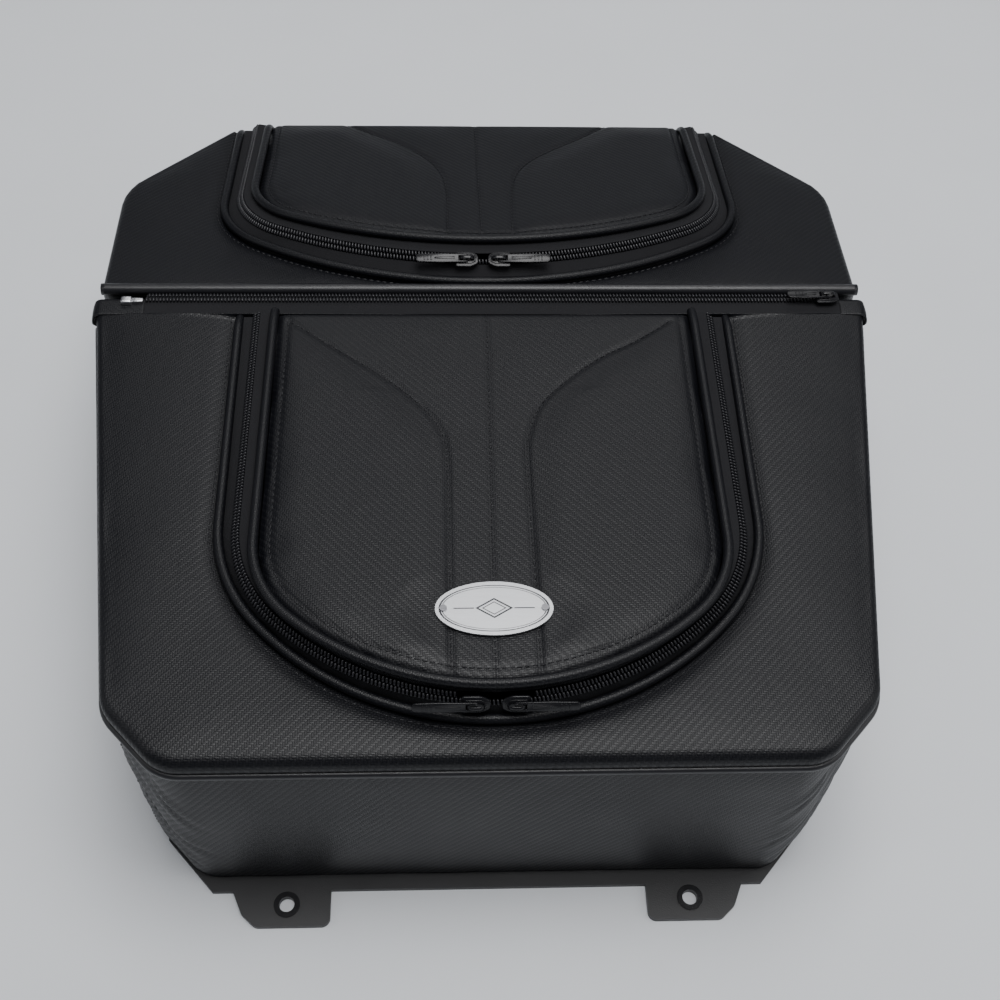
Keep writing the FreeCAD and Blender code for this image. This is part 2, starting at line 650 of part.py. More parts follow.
def pull(label, placement, reach):
    """Flat pull with a round bar at its heel that turns in the slider's arch."""
    body = new_body(label, placement)
    outline = new_sketch(body, "outline", "XY_Plane")
    polygon(outline, [((1, reach), (-1, "pull_half")), ((1, reach), (1, "pull_half")),
                      ((-1, "pull_heel"), (1, "pull_half")), ((-1, "pull_heel"), (1, "pull_slot")),
                      ((1, "pull_window"), (1, "pull_slot")),
                      ((1, "pull_window"), (-1, "pull_slot")),
                      ((-1, "pull_heel"), (-1, "pull_slot")),
                      ((-1, "pull_heel"), (-1, "pull_half"))])
    tab = pad(body, outline, "tab", "dims.pull_thick", both=True)
    tips = [(size(reach), side * size("pull_half")) for side in (-1, 1)]
    round_corners(body, tab, "tip_corners", tips, "pull_tip_round", size("pull_tip_reach"))
    bar = new_sketch(body, "bar", "XZ_Plane")
    circle(bar, None, None, "bar_radius")
    pad(body, bar, "bar_pad", "2 * dims.pull_half", both=True)


def slider_seat(side, seat, facing):
    """Frame of a pocket slider: on the nose of the coil, square to the sloping zip band."""
    bend = Bend(f"{side}_coil")
    rise = math.tan(math.radians(size(f"{side}_coil_rise")))
    height = size(f"{side}_coil_lift") + rise * bend.tip()
    turned = Rotation(Vector(0, 0, 1), 0 if facing > 0 else 180)
    return (seat * moved(facing * size("slider_x"), -bend.tip(), height,
                         spun(size(f"{side}_band_tilt")))
            * moved(0, size(f"{side}_slider_off"), size(f"{side}_slider_lift"), turned)
            * moved(0, 0, size("slider_float")))


def pocket_sliders(side, seat):
    """Two sliders that meet at the nose, each with its pull lying outwards."""
    for name, facing in (("left", -1), ("right", 1)):
        place = slider_seat(side, seat, facing)
        slider(f"{side}_slider_{name}", place)
        pivot = moved(0, 0, size("pivot_height") - size("slider_float"))
        pull(f"{side}_pull_{name}", place * pivot, "pull_reach")


def pocket(side, seat):
    """Every piece of one pocket except its tray."""
    for which in ("outer", "inner"):
        piping(side, which, seat)
        tape(side, which, seat)
        coil(side, which, seat)
    flap(side, seat)
    pocket_sliders(side, seat)


# ---------------------------------------------------------------- oval plate
def oval_plate():
    """Plain oval plate on the near flap, held by two small rivets."""
    rise = math.radians(size("near_inner_rise"))
    depth = size("plate_depth") - size("near_start")
    height = size("flap_lift") + math.tan(rise) * depth + size("plate_float")
    seat = NEAR_SEAT * moved(0, -depth, height, spun(-size("near_inner_rise")))
    body = new_body("oval_plate", seat)
    outline = new_sketch(body, "outline", "XY_Plane")
    oval = Part.Ellipse(Vector(), size("plate_half_long"), size("plate_half_short"))
    outline.addGeometry(oval, False)
    outline.addConstraint(Sketcher.Constraint("Block", 0))
    pad(body, outline, "blank", "dims.plate_thick")
    holes = new_sketch(body, "holes", "XY_Plane")
    for side in (-1, 1):
        circle(holes, (side, "plate_rivet_x"), None, "plate_hole_radius")
    cut(body, holes, "drilled", back=True)
    rivets = []
    for side in (-1, 1):
        spot = Vector(side * size("plate_rivet_x"), 0, 0)
        top = spot + Vector(0, 0, size("plate_thick"))
        shank = Part.makeCylinder(size("plate_hole_radius"), size("plate_thick"), spot)
        head = Part.makeCylinder(size("plate_rivet_radius"), size("plate_rivet_thick"), top)
        rivets.append(shank.fuse(head).removeSplitter())
    feature_part("plate_rivets", Part.makeCompound(rivets), seat)


# ---------------------------------------------------------------- main zip
def main_zip():
    """Full-width zip on the ridge: near half fixed, far half on the lid."""
    left, right = size("main_coil_left"), size("main_coil_right")
    width, tall = size("main_coil_width"), size("main_coil_height")
    low, thick = size("main_tape_low"), size("main_tape_thick")
    base = low + thick
    tape_wide = size("main_tape_width")
    front = -size("main_coil_shift")
    near_coil = Part.makeBox(left + right, width, tall, Vector(-left, front, base))
    near_tape = Part.makeBox(left + right, tape_wide, thick,
                             Vector(-left, front + width - tape_wide, low))
    feature_part("main_near_coil", near_coil, NEAR_FRAME)
    feature_part("main_near_tape", near_tape, NEAR_FRAME)
    lid_right, edge = size("lid_coil_right"), -size("lid_tape_front")
    lid_coil = Part.makeBox(left + lid_right, width, tall, Vector(-left, edge, base))
    lid_tape = Part.makeBox(left + lid_right, tape_wide, thick, Vector(-left, edge, low))
    feature_part("main_lid_coil", lid_coil, FAR_FRAME)
    feature_part("main_lid_tape", lid_tape, FAR_FRAME)
    bead_half = size("ridge_half") - size("bead_end_gap")
    bead = Part.makeCylinder(size("lid_bead_radius"), 2 * bead_half,
                             Vector(-bead_half, -size("lid_bead_depth"), size("lid_bead_lift")),
                             Vector(1, 0, 0))
    feature_part("lid_edge_bead", bead, FAR_FRAME)
    stop_y = front + width - size("stop_width")
    stop = Part.makeBox(size("stop_length"), size("stop_width"), size("stop_height"),
                        Vector(-left - size("stop_gap") - size("stop_length"), stop_y, low))
    feature_part("main_end_stop", stop, NEAR_FRAME)
    seat = NEAR_FRAME * moved(size("main_slider_x"), size("main_slider_shift"),
                              size("main_slider_lift") + size("slider_float"),
                              Rotation(Vector(0, 0, 1), 180))
    slider("main_slider", seat)
    pivot = moved(0, 0, size("pivot_height") - size("slider_float"))
    pull("main_pull", seat * pivot, "main_pull_reach")


def zip_tails():
    """Folded end of the main zip's tape, hanging down each side."""
    for name, side in (("left", -1), ("right", 1)):
        x = side * (size("ridge_half") + size("tail_stand_off"))
        body = new_body(f"zip_tail_{name}", moved(x, size("ridge_y"), size("ridge_height")))
        outline = new_sketch(body, "outline", "YZ_Plane")
        polygon(outline, [((1, "tail_thick"), (1, "tail_thick")),
                          ((1, "tail_thick"), (-1, "tail_drop")),
                          ((-1, "tail_toe"), (-1, "tail_drop")),
                          ((-1, "tail_width"), (1, "tail_thick"))])
        pad(body, outline, "cloth", "dims.tail_thick", back=side < 0)


# ---------------------------------------------------------------- seam bead
def seam_bead():
    """Bead sewn under the edge of the near section, along both sides and the front."""
    side = [("ridge_half", "bead_start"), ("shoulder_half", "shoulder_depth"),
            ("front_half", "front_depth")]
    inset = size("bead_inset")
    right = [Vector(size(x) - inset, -size(y) + (inset if y == "front_depth" else 0), 0)
             for x, y in side]
    left = [Vector(-p.x, p.y, 0) for p in right]
    points = left + right[::-1]
    edges = rounded_edges(points, size("corner_round"))
    level = -size("panel_thick") - size("bead_radius") - size("soft_gap")
    feature_part("near_seam_bead", swept_round(edges, size("bead_radius")),
                 NEAR_FRAME * moved(0, 0, level))


# ---------------------------------------------------------------- every piece in turn
base_plate()
tab_washers()
floor_board()
floor_rivets()
wall_set("wall", size("wall_inset"), size("wall_thick"))
wall_set("board", size("wall_inset") + size("wall_thick") + size("soft_gap"), size("board_thick"))
near_panel()
lid_panel()
tray("near_tray", NEAR_SEAT * moved(0, 0, -size("tray_top")), "near_outer", "near_tray_depth")
tray("far_tray", FAR_SEAT * moved(0, 0, -size("tray_top")), "far_outer", "far_tray_depth",
     "tray_short")
pocket("near", NEAR_SEAT)
pocket("far", FAR_SEAT)
oval_plate()
main_zip()
zip_tails()
seam_bead()
doc.recompute()

for item in doc.Objects:
    if "Invalid" in item.State or "Error" in item.State:
        raise RuntimeError(f"{item.Label}: {item.State}")
os.makedirs("parts", exist_ok=True)
for part in SUB_PARTS:
    shape = part.Shape
    if shape.isNull() or not shape.isValid() or shape.Volume < 1e-3:
        raise RuntimeError(f"{part.Label}: the shape is empty or broken")
    shape.exportStep(f"parts/{part.Label}.step")
    print(f"{part.Label:20s} solids {len(shape.Solids)}  volume {shape.Volume / 1000:.2f} cm3")
print(len(SUB_PARTS), "sub-parts")
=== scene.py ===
# %% [markdown]
# # A soft luggage bag for a motorcycle
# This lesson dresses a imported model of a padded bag. The frame already has every hard piece in its
# place, in metres: X to the right, Y from the front wall to the tail, Z up. The lessons below give the
# hard pieces their finishes, and build the soft ones again: quilted flaps, padded walls, zip teeth and
# stitching.

# %% Load the frame
import bmesh
import bpy
import math
import numpy as np
from mathutils import Matrix, Vector, noise
from mathutils.bvhtree import BVHTree


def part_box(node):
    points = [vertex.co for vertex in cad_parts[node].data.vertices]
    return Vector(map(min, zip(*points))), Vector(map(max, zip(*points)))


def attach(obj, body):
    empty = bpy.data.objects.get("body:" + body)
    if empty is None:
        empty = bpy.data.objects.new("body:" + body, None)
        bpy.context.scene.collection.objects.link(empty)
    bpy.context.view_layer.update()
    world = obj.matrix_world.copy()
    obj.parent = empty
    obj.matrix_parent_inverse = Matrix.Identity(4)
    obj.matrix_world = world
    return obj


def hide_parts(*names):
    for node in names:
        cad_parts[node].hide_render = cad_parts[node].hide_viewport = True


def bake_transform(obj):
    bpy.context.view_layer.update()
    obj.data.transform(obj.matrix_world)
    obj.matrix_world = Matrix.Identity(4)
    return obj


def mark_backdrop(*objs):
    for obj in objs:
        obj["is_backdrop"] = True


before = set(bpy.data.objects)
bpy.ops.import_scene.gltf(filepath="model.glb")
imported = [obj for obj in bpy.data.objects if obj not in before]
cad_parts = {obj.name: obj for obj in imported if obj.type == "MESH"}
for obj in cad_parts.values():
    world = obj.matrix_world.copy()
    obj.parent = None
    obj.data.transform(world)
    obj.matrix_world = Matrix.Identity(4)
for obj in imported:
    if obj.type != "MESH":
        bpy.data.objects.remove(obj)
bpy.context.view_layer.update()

# %% [markdown]
# The top of the bag is two flat sections that meet at a ridge. Everything on them is easier to draw
# square on to its own section, so each gets a matrix: local x runs across, local y is 0 at the hinge
# side and negative towards the nose of the pocket, and local z stands up from the vinyl. The seats start
# a little below the ridge and the tail, where the pockets begin.

# %% The two sloping sections
MM = 0.001
RIDGE_Y, RIDGE_HEIGHT, NEAR_SLOPE = 64, 210, 2.42
TAIL_Y, TAIL_HEIGHT, FAR_SLOPE = 326, 155, -11.86
STARTS = {"near": 16.0, "far": 10.0}


def turned(degrees):
    """A turn about the X axis."""
    return Matrix.Rotation(math.radians(degrees), 4, "X")


def shifted(x, y, z):
    """A move given in millimetres."""
    return Matrix.Translation((x * MM, y * MM, z * MM))


NEAR = shifted(0, RIDGE_Y, RIDGE_HEIGHT) @ turned(NEAR_SLOPE)
FAR = shifted(0, TAIL_Y, TAIL_HEIGHT) @ turned(FAR_SLOPE)
NEAR_SEAT = NEAR @ shifted(0, -STARTS["near"], 0)
FAR_SEAT = FAR @ shifted(0, -STARTS["far"], 0)
SEATS = {"near": NEAR_SEAT, "far": FAR_SEAT}

# %% [markdown]
# Zips, pipings and panel edges all follow the same kind of line: straight runs joined by arcs. A track
# is a list of such runs. Walking along it gives evenly spaced stations, each with its place and the
# direction that points outwards, so a parallel edge is one multiplication away.

# %% Tracks made of lines and arcs
def line(a, b):
    """A straight run from a to b: its length, and the place at a fraction of it."""
    a, b = Vector(a), Vector(b)
    return (b - a).length, lambda t: a.lerp(b, t)


def arc(centre, radius, start, end):
    """An arc between two angles."""
    centre = Vector(centre)

    def at(t):
        angle = start + (end - start) * t
        return centre + radius * Vector((math.cos(angle), math.sin(angle)))

    return abs(end - start) * radius, at


def walk(runs, count):
    """Evenly spaced stations along the runs, as (place, outward direction) pairs."""
    total = sum(length for length, _ in runs)

    def at(distance):
        for length, place in runs:
            if distance <= length:
                return place(distance / length)
            distance -= length
        return runs[-1][1](1.0)

    stations = []
    for i in range(count + 1):
        s = total * i / count
        here = at(s)
        ahead = at(min(s + 0.2, total)) - at(max(s - 0.2, 0.0))
        ahead.normalize()
        stations.append((here, Vector((ahead.y, -ahead.x))))
    return stations


def reach(runs):
    """Length of a track in millimetres."""
    return sum(length for length, _ in runs)


def u_track(half, leg, side, nose):
    """Two legs, two side arcs and a nose arc, all tangent; the nose points to -y."""
    side_x = half - side
    rise = math.sqrt((nose - side) ** 2 - side_x ** 2)
    nose_y, turn = rise - leg, math.atan2(rise, side_x)
    low, high = math.pi + turn, 2 * math.pi - turn
    return [line((-half, 0), (-half, -leg)), arc((-side_x, -leg), side, math.pi, low),
            arc((0, nose_y), nose, low, high), arc((side_x, -leg), side, high, 2 * math.pi),
            line((half, -leg), (half, 0))]


def rounded_track(corners, radius):
    """Straight runs through the corners, with each corner between the ends rounded."""
    runs, start = [], Vector(corners[0])
    for before, corner, after in zip(corners, corners[1:], corners[2:]):
        corner = Vector(corner)
        back = (Vector(before) - corner).normalized()
        ahead = (Vector(after) - corner).normalized()
        half_turn = back.angle(ahead) / 2
        tangent, middle = radius / math.tan(half_turn), (back + ahead).normalized()
        centre = corner + middle * radius / math.sin(half_turn)
        a, b = corner + back * tangent, corner + ahead * tangent
        first, last = ((p - centre).to_2d() for p in (a, b))
        begin = math.atan2(first.y, first.x)
        sweep = (math.atan2(last.y, last.x) - begin + math.pi) % (2 * math.pi) - math.pi
        runs += [line(start, a), arc(centre, radius, begin, begin + sweep)]
        start = b
    return runs + [line(start, corners[-1])]


U_SIZES = {"near_outer": (176, 174, 110, 197.6), "near_coil": (163, 184, 95, 191.6),
           "near_inner": (150, 199, 75, 189), "far_outer": (203, 122, 70, 301.6),
           "far_coil": (190, 120, 66, 309.1), "far_inner": (178, 117, 60, 314.6)}
TRACKS = {name: u_track(*sizes) for name, sizes in U_SIZES.items()}
for name, runs in TRACKS.items():
    print(f"{name}: {reach(runs):.0f} mm long")

# %% [markdown]
# Every soft shell here is a grid of rows. One helper makes a grid, puts each vertex where its row says,
# sews the grid's ends together where the shape closes, and writes a UV map in metres, so that a woven
# pattern keeps its true size on every piece.

# %% From rows of points to a piece
def keep(bm, name, smooth=True):
    """Store a finished bmesh as an object at the origin."""
    mesh = bpy.data.meshes.new(name)
    bm.to_mesh(mesh)
    bm.free()
    piece = bpy.data.objects.new(name, mesh)
    bpy.context.scene.collection.objects.link(piece)
    if smooth:
        mesh.shade_smooth()
    return piece


def outward(bm):
    """Point every face outwards."""
    bmesh.ops.recalc_face_normals(bm, faces=bm.faces[:])


def shell(name, rows, flat=None):
    """A surface through rows of points; equal ends are sewn together.

    flat gives the UV of a point; without it the UV runs along and across the rows."""
    across, down = len(rows[0]) - 1, len(rows) - 1
    bm = bmesh.new()
    bmesh.ops.create_grid(bm, x_segments=across, y_segments=down, size=1.0)
    middle, lead = rows[down // 2], [row[0] for row in rows]
    along = np.cumsum([0.0] + [(b - a).length for a, b in zip(middle, middle[1:])])
    fall = np.cumsum([0.0] + [(b - a).length for a, b in zip(lead, lead[1:])])
    spot = {}
    for vert in bm.verts:
        i, j = round((vert.co.x + 1) / 2 * across), round((vert.co.y + 1) / 2 * down)
        spot[vert] = (i, j)
        vert.co = rows[j][i]
    uv = bm.loops.layers.uv.new("weave")
    for face in bm.faces:
        for corner in face.loops:
            i, j = spot[corner.vert]
            corner[uv].uv = flat(rows[j][i]) if flat else (along[i], fall[j])
    bmesh.ops.remove_doubles(bm, verts=bm.verts[:], dist=1e-6)
    outward(bm)
    return keep(bm, name)


def capped(name, rings, finish):
    """A closed band through rings of points, with both its ends filled."""
    piece = shell(name, rings)
    bm = bmesh.new()
    bm.from_mesh(piece.data)
    bmesh.ops.holes_fill(bm, edges=[edge for edge in bm.edges if edge.is_boundary], sides=0)
    outward(bm)
    bm.to_mesh(piece.data)
    bm.free()
    piece.data.shade_smooth()
    piece.data.materials.append(finish)
    return piece


# %% [markdown]
# ## Finishes
# The cover is vinyl embossed with a two-by-two twill, the look of woven carbon cloth. Each strand
# passes over two others and under two, and every row steps one strand sideways, which draws the
# diagonal lines. The pattern can be worked out exactly: number the cells, take the difference modulo
# four, and let the warp show in two cases and the weft in the other two. Each float is a small pillow.

# %% Helpers for node recipes
class Recipe:
    """One material, built node by node around its shader."""

    def __init__(self, name, roughness, metallic=0.0, specular=0.5):
        self.material = bpy.data.materials.new(name)
        self.material.use_nodes = True
        self.tree = self.material.node_tree
        self.shader = self.tree.nodes["Principled BSDF"]
        self.shader.inputs["Roughness"].default_value = roughness
        self.shader.inputs["Metallic"].default_value = metallic
        self.shader.inputs["Specular IOR Level"].default_value = specular

    def node(self, kind, **settings):
        """Add a node and set its options."""
        made = self.tree.nodes.new("ShaderNode" + kind)
        for key, value in settings.items():
            setattr(made, key, value)
        return made

    def feed(self, socket, source):
        """Give a socket a number or another node's output."""
        if hasattr(source, "links"):
            self.tree.links.new(source, socket)
        else:
            socket.default_value = source

    def sum(self, operation, *values):
        """One Math node."""
        made = self.node("Math", operation=operation)
        for socket, value in zip(made.inputs, values):
            self.feed(socket, value)
        return made.outputs[0]

    def place(self, kind="Object"):
        """Where on the piece the point is."""
        return self.node("TexCoord").outputs[kind]

    def cloud(self, scale, detail, rough=0.55, stretch=None):
        """Soft noise from 0 to 1."""
        made = self.node("TexNoise")
        made.inputs["Scale"].default_value = scale
        made.inputs["Detail"].default_value = detail
        made.inputs["Roughness"].default_value = rough
        source = self.place()
        if stretch:
            mapping = self.node("Mapping")
            mapping.inputs["Scale"].default_value = stretch
            self.feed(mapping.inputs["Vector"], source)
            source = mapping.outputs[0]
        self.feed(made.inputs["Vector"], source)
        return made.outputs[0]

    def between(self, factor, low, high):
        """Spread a 0 to 1 value between two numbers."""
        made = self.node("MapRange")
        self.feed(made.inputs["Value"], factor)
        made.inputs["To Min"].default_value = low
        made.inputs["To Max"].default_value = high
        return made.outputs[0]

    def blend(self, factor, first, second):
        """Mix two colours."""
        made = self.node("Mix", data_type="RGBA")
        self.feed(made.inputs[0], factor)
        made.inputs[6].default_value = (*first, 1)
        made.inputs[7].default_value = (*second, 1)
        return made.outputs[2]

    def bump(self, height, distance, below=None, strength=1.0):
        """Raise the surface by a height from 0 to 1 times a distance in metres."""
        made = self.node("Bump")
        made.inputs["Strength"].default_value = strength
        made.inputs["Distance"].default_value = distance
        self.feed(made.inputs["Height"], height)
        if below:
            self.feed(made.inputs["Normal"], below)
        return made.outputs["Normal"]

    def set(self, **sources):
        """Connect the shader's own sockets, by name."""
        for key, source in sources.items():
            self.feed(self.shader.inputs[key.replace("_", " ")], source)
        return self.material


# %% Twill-embossed vinyl
def twill_height(recipe, strand, mirror):
    """Height of the embossed twill, and which strand shows, read from the UV map."""
    parts = recipe.node("SeparateXYZ")
    recipe.feed(parts.inputs[0], recipe.place("UV"))
    u = recipe.sum("MULTIPLY", parts.outputs[0], mirror / strand)
    v = recipe.sum("MULTIPLY", parts.outputs[1], 1 / strand)
    column, row = recipe.sum("FLOOR", u), recipe.sum("FLOOR", v)
    step = recipe.sum("FLOORED_MODULO", recipe.sum("SUBTRACT", column, row), 4.0)
    warp = recipe.sum("LESS_THAN", step, 1.5)
    half_turn = math.pi / 2
    warp_run = recipe.sum("ADD", recipe.sum("SUBTRACT", 1.0, step), recipe.sum("FRACT", v))
    weft_run = recipe.sum("ADD", recipe.sum("SUBTRACT", step, 2.0), recipe.sum("FRACT", u))
    heights = []
    for run, side in ((warp_run, u), (weft_run, v)):
        crown = recipe.sum("SINE", recipe.sum("MULTIPLY", run, half_turn))
        width = recipe.sum("SINE", recipe.sum("MULTIPLY", recipe.sum("FRACT", side), math.pi))
        pillow = recipe.sum("MAXIMUM", recipe.sum("MULTIPLY", crown, width), 0.0)
        heights.append(recipe.sum("POWER", pillow, 0.6))
    shown = recipe.node("Mix", data_type="FLOAT")
    recipe.feed(shown.inputs[0], warp)
    recipe.feed(shown.inputs[2], heights[1])
    recipe.feed(shown.inputs[3], heights[0])
    return shown.outputs[0], warp


def twill_vinyl(name, mirror):
    """Black vinyl with a satin sheen and painted highlights on the twill crowns; mirror turns the
    diagonals the other way.
    """
    recipe = Recipe(name, 0.44, specular=0.30)
    height, warp = twill_height(recipe, 0.0014, mirror)
    wear = recipe.cloud(9.0, 5.0)
    gloss = recipe.sum("ADD", recipe.between(warp, 0.40, 0.50), recipe.between(wear, -0.07, 0.07))
    # Painted highlight: the raised crown of each twill float is painted lighter, varied at random by the
    # wear noise.
    tone = recipe.sum("MULTIPLY", height, recipe.between(wear, 0.5, 1.0))
    creases = recipe.bump(recipe.cloud(140.0, 4.0), 0.0003, strength=0.5)
    colour = recipe.blend(tone, (0.0016, 0.0017, 0.0026), (0.0060, 0.0064, 0.0092))
    return recipe.set(Base_Color=colour, Roughness=gloss,
                      Normal=recipe.bump(height, 0.00018, creases, 0.60))


BODY_VINYL = twill_vinyl("twill_vinyl_body", 1.0)
FLAP_VINYL = twill_vinyl("twill_vinyl_flap", -1.0)
print("vinyls:", BODY_VINYL.name, FLAP_VINYL.name)

# %% [markdown]
# The beads at the edges are smooth vinyl wrapped round a cord: a fine leather grain, a little glossier
# than the cover, and rubbed smoother where hands touch it. The zip tape is woven in fine ribs, the teeth
# are drawn nylon, and the seams are sewn with bonded thread.

# %% Smooth vinyl, zip tape, nylon and thread
def grained_vinyl(name):
    """Smooth black vinyl with a fine pebble grain."""
    recipe = Recipe(name, 0.34)
    pebbles = recipe.node("TexVoronoi", feature="DISTANCE_TO_EDGE")
    pebbles.inputs["Scale"].default_value = 1500.0
    recipe.feed(pebbles.inputs["Vector"], recipe.place())
    wear = recipe.cloud(22.0, 4.0)
    colour = recipe.blend(wear, (0.006, 0.006, 0.0075), (0.014, 0.014, 0.017))
    return recipe.set(Base_Color=colour, Roughness=recipe.between(wear, 0.26, 0.42),
                      Normal=recipe.bump(pebbles.outputs["Distance"], 0.0002, strength=0.5))


def woven_tape(name, pitch, tint):
    """Fine ribs both ways, as in a woven tape or a coarse lining."""
    recipe = Recipe(name, 0.85, specular=0.3)
    parts = recipe.node("SeparateXYZ")
    recipe.feed(parts.inputs[0], recipe.place())
    ribs = [recipe.sum("SINE", recipe.sum("MULTIPLY", parts.outputs[axis], 2 * math.pi / pitch))
            for axis in (0, 1)]
    height = recipe.between(recipe.sum("MULTIPLY", *ribs), 0.0, 1.0)
    fuzz = recipe.cloud(700.0, 2.0)
    low, high = (tuple(share * value for value in tint) for share in (0.55, 1.3))
    return recipe.set(Base_Color=recipe.blend(fuzz, low, high),
                      Roughness=recipe.between(fuzz, 0.75, 0.95),
                      Normal=recipe.bump(height, 0.00015, recipe.bump(fuzz, 0.0001)))


def drawn_nylon(name):
    """Black nylon with fine draw marks."""
    recipe = Recipe(name, 0.3)
    marks = recipe.cloud(900.0, 2.0, stretch=(1.0, 0.2, 1.0))
    return recipe.set(Base_Color=recipe.blend(marks, (0.008, 0.008, 0.010), (0.022, 0.022, 0.026)),
                      Roughness=recipe.between(marks, 0.22, 0.4),
                      Normal=recipe.bump(marks, 0.00006))


def twisted_thread(name):
    """Bonded thread: tight diagonal ply lines."""
    recipe = Recipe(name, 0.5)
    ply = recipe.node("TexWave", bands_direction="DIAGONAL")
    ply.inputs["Scale"].default_value = 900.0
    recipe.feed(ply.inputs["Vector"], recipe.place())
    lines = ply.outputs[0]
    return recipe.set(Base_Color=recipe.blend(lines, (0.003, 0.003, 0.004), (0.012, 0.012, 0.016)),
                      Roughness=recipe.between(lines, 0.4, 0.6), Normal=recipe.bump(lines, 0.0001))


BEAD_VINYL = grained_vinyl("bead_vinyl")
ZIP_TAPE = woven_tape("zip_tape", 0.0009, (0.010, 0.010, 0.012))
LINING = woven_tape("pocket_lining", 0.0014, (0.030, 0.030, 0.034))
NYLON = drawn_nylon("zip_nylon")
THREAD = twisted_thread("seam_thread")

# %% [markdown]
# The base plate is powder coated, which leaves a fine orange peel. Washers, sliders and pulls wear a
# glossy black enamel. The rivets and the end stop are plain metal with small scratches. The oval plate
# is brushed along its length, with two border rings and a plain lozenge cut into it. The boards behind
# the padding are rough black fibre sheet.

# %% Metals and boards
def powder_coat(name):
    """Satin black with orange peel and a few rubbed patches."""
    recipe = Recipe(name, 0.45)
    peel, wear = recipe.cloud(1400.0, 2.0), recipe.cloud(14.0, 6.0, 0.7)
    return recipe.set(Base_Color=recipe.blend(wear, (0.009, 0.009, 0.010), (0.024, 0.024, 0.026)),
                      Roughness=recipe.between(wear, 0.36, 0.56),
                      Normal=recipe.bump(peel, 0.00012))


def black_enamel(name):
    """Cast metal under glossy enamel, worn a little on its high spots."""
    recipe = Recipe(name, 0.26, specular=0.35)
    cast, wear = recipe.cloud(500.0, 2.0), recipe.cloud(60.0, 4.0, 0.6)
    return recipe.set(Base_Color=recipe.blend(wear, (0.003, 0.003, 0.004), (0.010, 0.010, 0.012)),
                      Roughness=recipe.between(wear, 0.20, 0.32),
                      Normal=recipe.bump(cast, 0.00003))


def plain_metal(name, tint):
    """Bright metal with fine scratches."""
    recipe = Recipe(name, 0.3, metallic=1.0)
    marks = recipe.cloud(500.0, 4.0, 0.65)
    stain = recipe.cloud(45.0, 4.0)
    dull = tuple(0.72 * value for value in tint)
    return recipe.set(Base_Color=recipe.blend(stain, dull, tint),
                      Roughness=recipe.between(marks, 0.22, 0.42),
                      Normal=recipe.bump(marks, 0.00004))


def fibre_board(name):
    """Rough pressed sheet."""
    recipe = Recipe(name, 0.8)
    fibres = recipe.cloud(260.0, 5.0, 0.7, stretch=(1.0, 0.35, 1.0))
    return recipe.set(Base_Color=recipe.blend(fibres, (0.016, 0.016, 0.017), (0.045, 0.045, 0.048)),
                      Roughness=recipe.between(fibres, 0.68, 0.9),
                      Normal=recipe.bump(fibres, 0.0004))


POWDER_COAT = powder_coat("powder_coat")
ENAMEL = black_enamel("slider_enamel")
BRIGHT = plain_metal("bright_zinc", (0.70, 0.70, 0.72))
RIVET_METAL = plain_metal("rivet_aluminium", (0.34, 0.34, 0.36))
BOARD = fibre_board("fibre_board")


def engraved_plate(name, centre, half_long, half_short):
    """Brushed plate with dark engraved rings, a lozenge and a short line each side of it."""
    recipe = Recipe(name, 0.3, metallic=0.85)
    mapping = recipe.node("Mapping")
    mapping.inputs["Location"].default_value = (-centre.x, -centre.y, 0)
    recipe.feed(mapping.inputs["Vector"], recipe.place())
    parts = recipe.node("SeparateXYZ")
    recipe.feed(parts.inputs[0], mapping.outputs[0])
    x, y = parts.outputs[0], parts.outputs[1]
    brushed = recipe.cloud(420.0, 4.0, 0.7, stretch=(0.12, 1.0, 1.0))
    lines = []
    for inside in (0.0028, 0.0042):
        across = recipe.sum("POWER", recipe.sum("DIVIDE", x, half_long - inside), 2.0)
        along = recipe.sum("POWER", recipe.sum("DIVIDE", y, half_short - inside), 2.0)
        ring = recipe.sum("SQRT", recipe.sum("ADD", across, along))
        off = recipe.sum("ABSOLUTE", recipe.sum("SUBTRACT", ring, 1.0))
        lines.append(recipe.sum("LESS_THAN", off, 0.017 if inside < 0.004 else 0.009))
    spread = recipe.sum("ADD", recipe.sum("ABSOLUTE", recipe.sum("DIVIDE", x, 0.0105)),
                        recipe.sum("ABSOLUTE", recipe.sum("DIVIDE", y, 0.0066)))
    for level, width in ((1.0, 0.09), (0.66, 0.05)):
        off = recipe.sum("ABSOLUTE", recipe.sum("SUBTRACT", spread, level))
        lines.append(recipe.sum("LESS_THAN", off, width))
    side_line = recipe.sum("MULTIPLY", recipe.sum("LESS_THAN", recipe.sum("ABSOLUTE", y), 0.00035),
                           recipe.sum("COMPARE", recipe.sum("ABSOLUTE", x), 0.0185, 0.0062))
    mark = side_line
    for drawn in lines:
        mark = recipe.sum("MAXIMUM", mark, drawn)
    tone = recipe.sum("MAXIMUM", mark, recipe.between(brushed, 0.0, 0.22))
    colour = recipe.blend(tone, (0.72, 0.73, 0.75), (0.05, 0.05, 0.055))
    return recipe.set(Base_Color=colour, Roughness=recipe.between(brushed, 0.26, 0.46),
                      Normal=recipe.bump(recipe.sum("SUBTRACT", brushed, mark), 0.00006))


plate_low, plate_high = (Vector(corner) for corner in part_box("oval_plate"))
PLATE = engraved_plate("engraved_plate", (plate_low + plate_high) / 2, 36 * MM, 19 * MM)

# %% [markdown]
# Hard pieces whose shape is already right only need their finish. A dictionary from finish to pieces
# keeps that in one place.

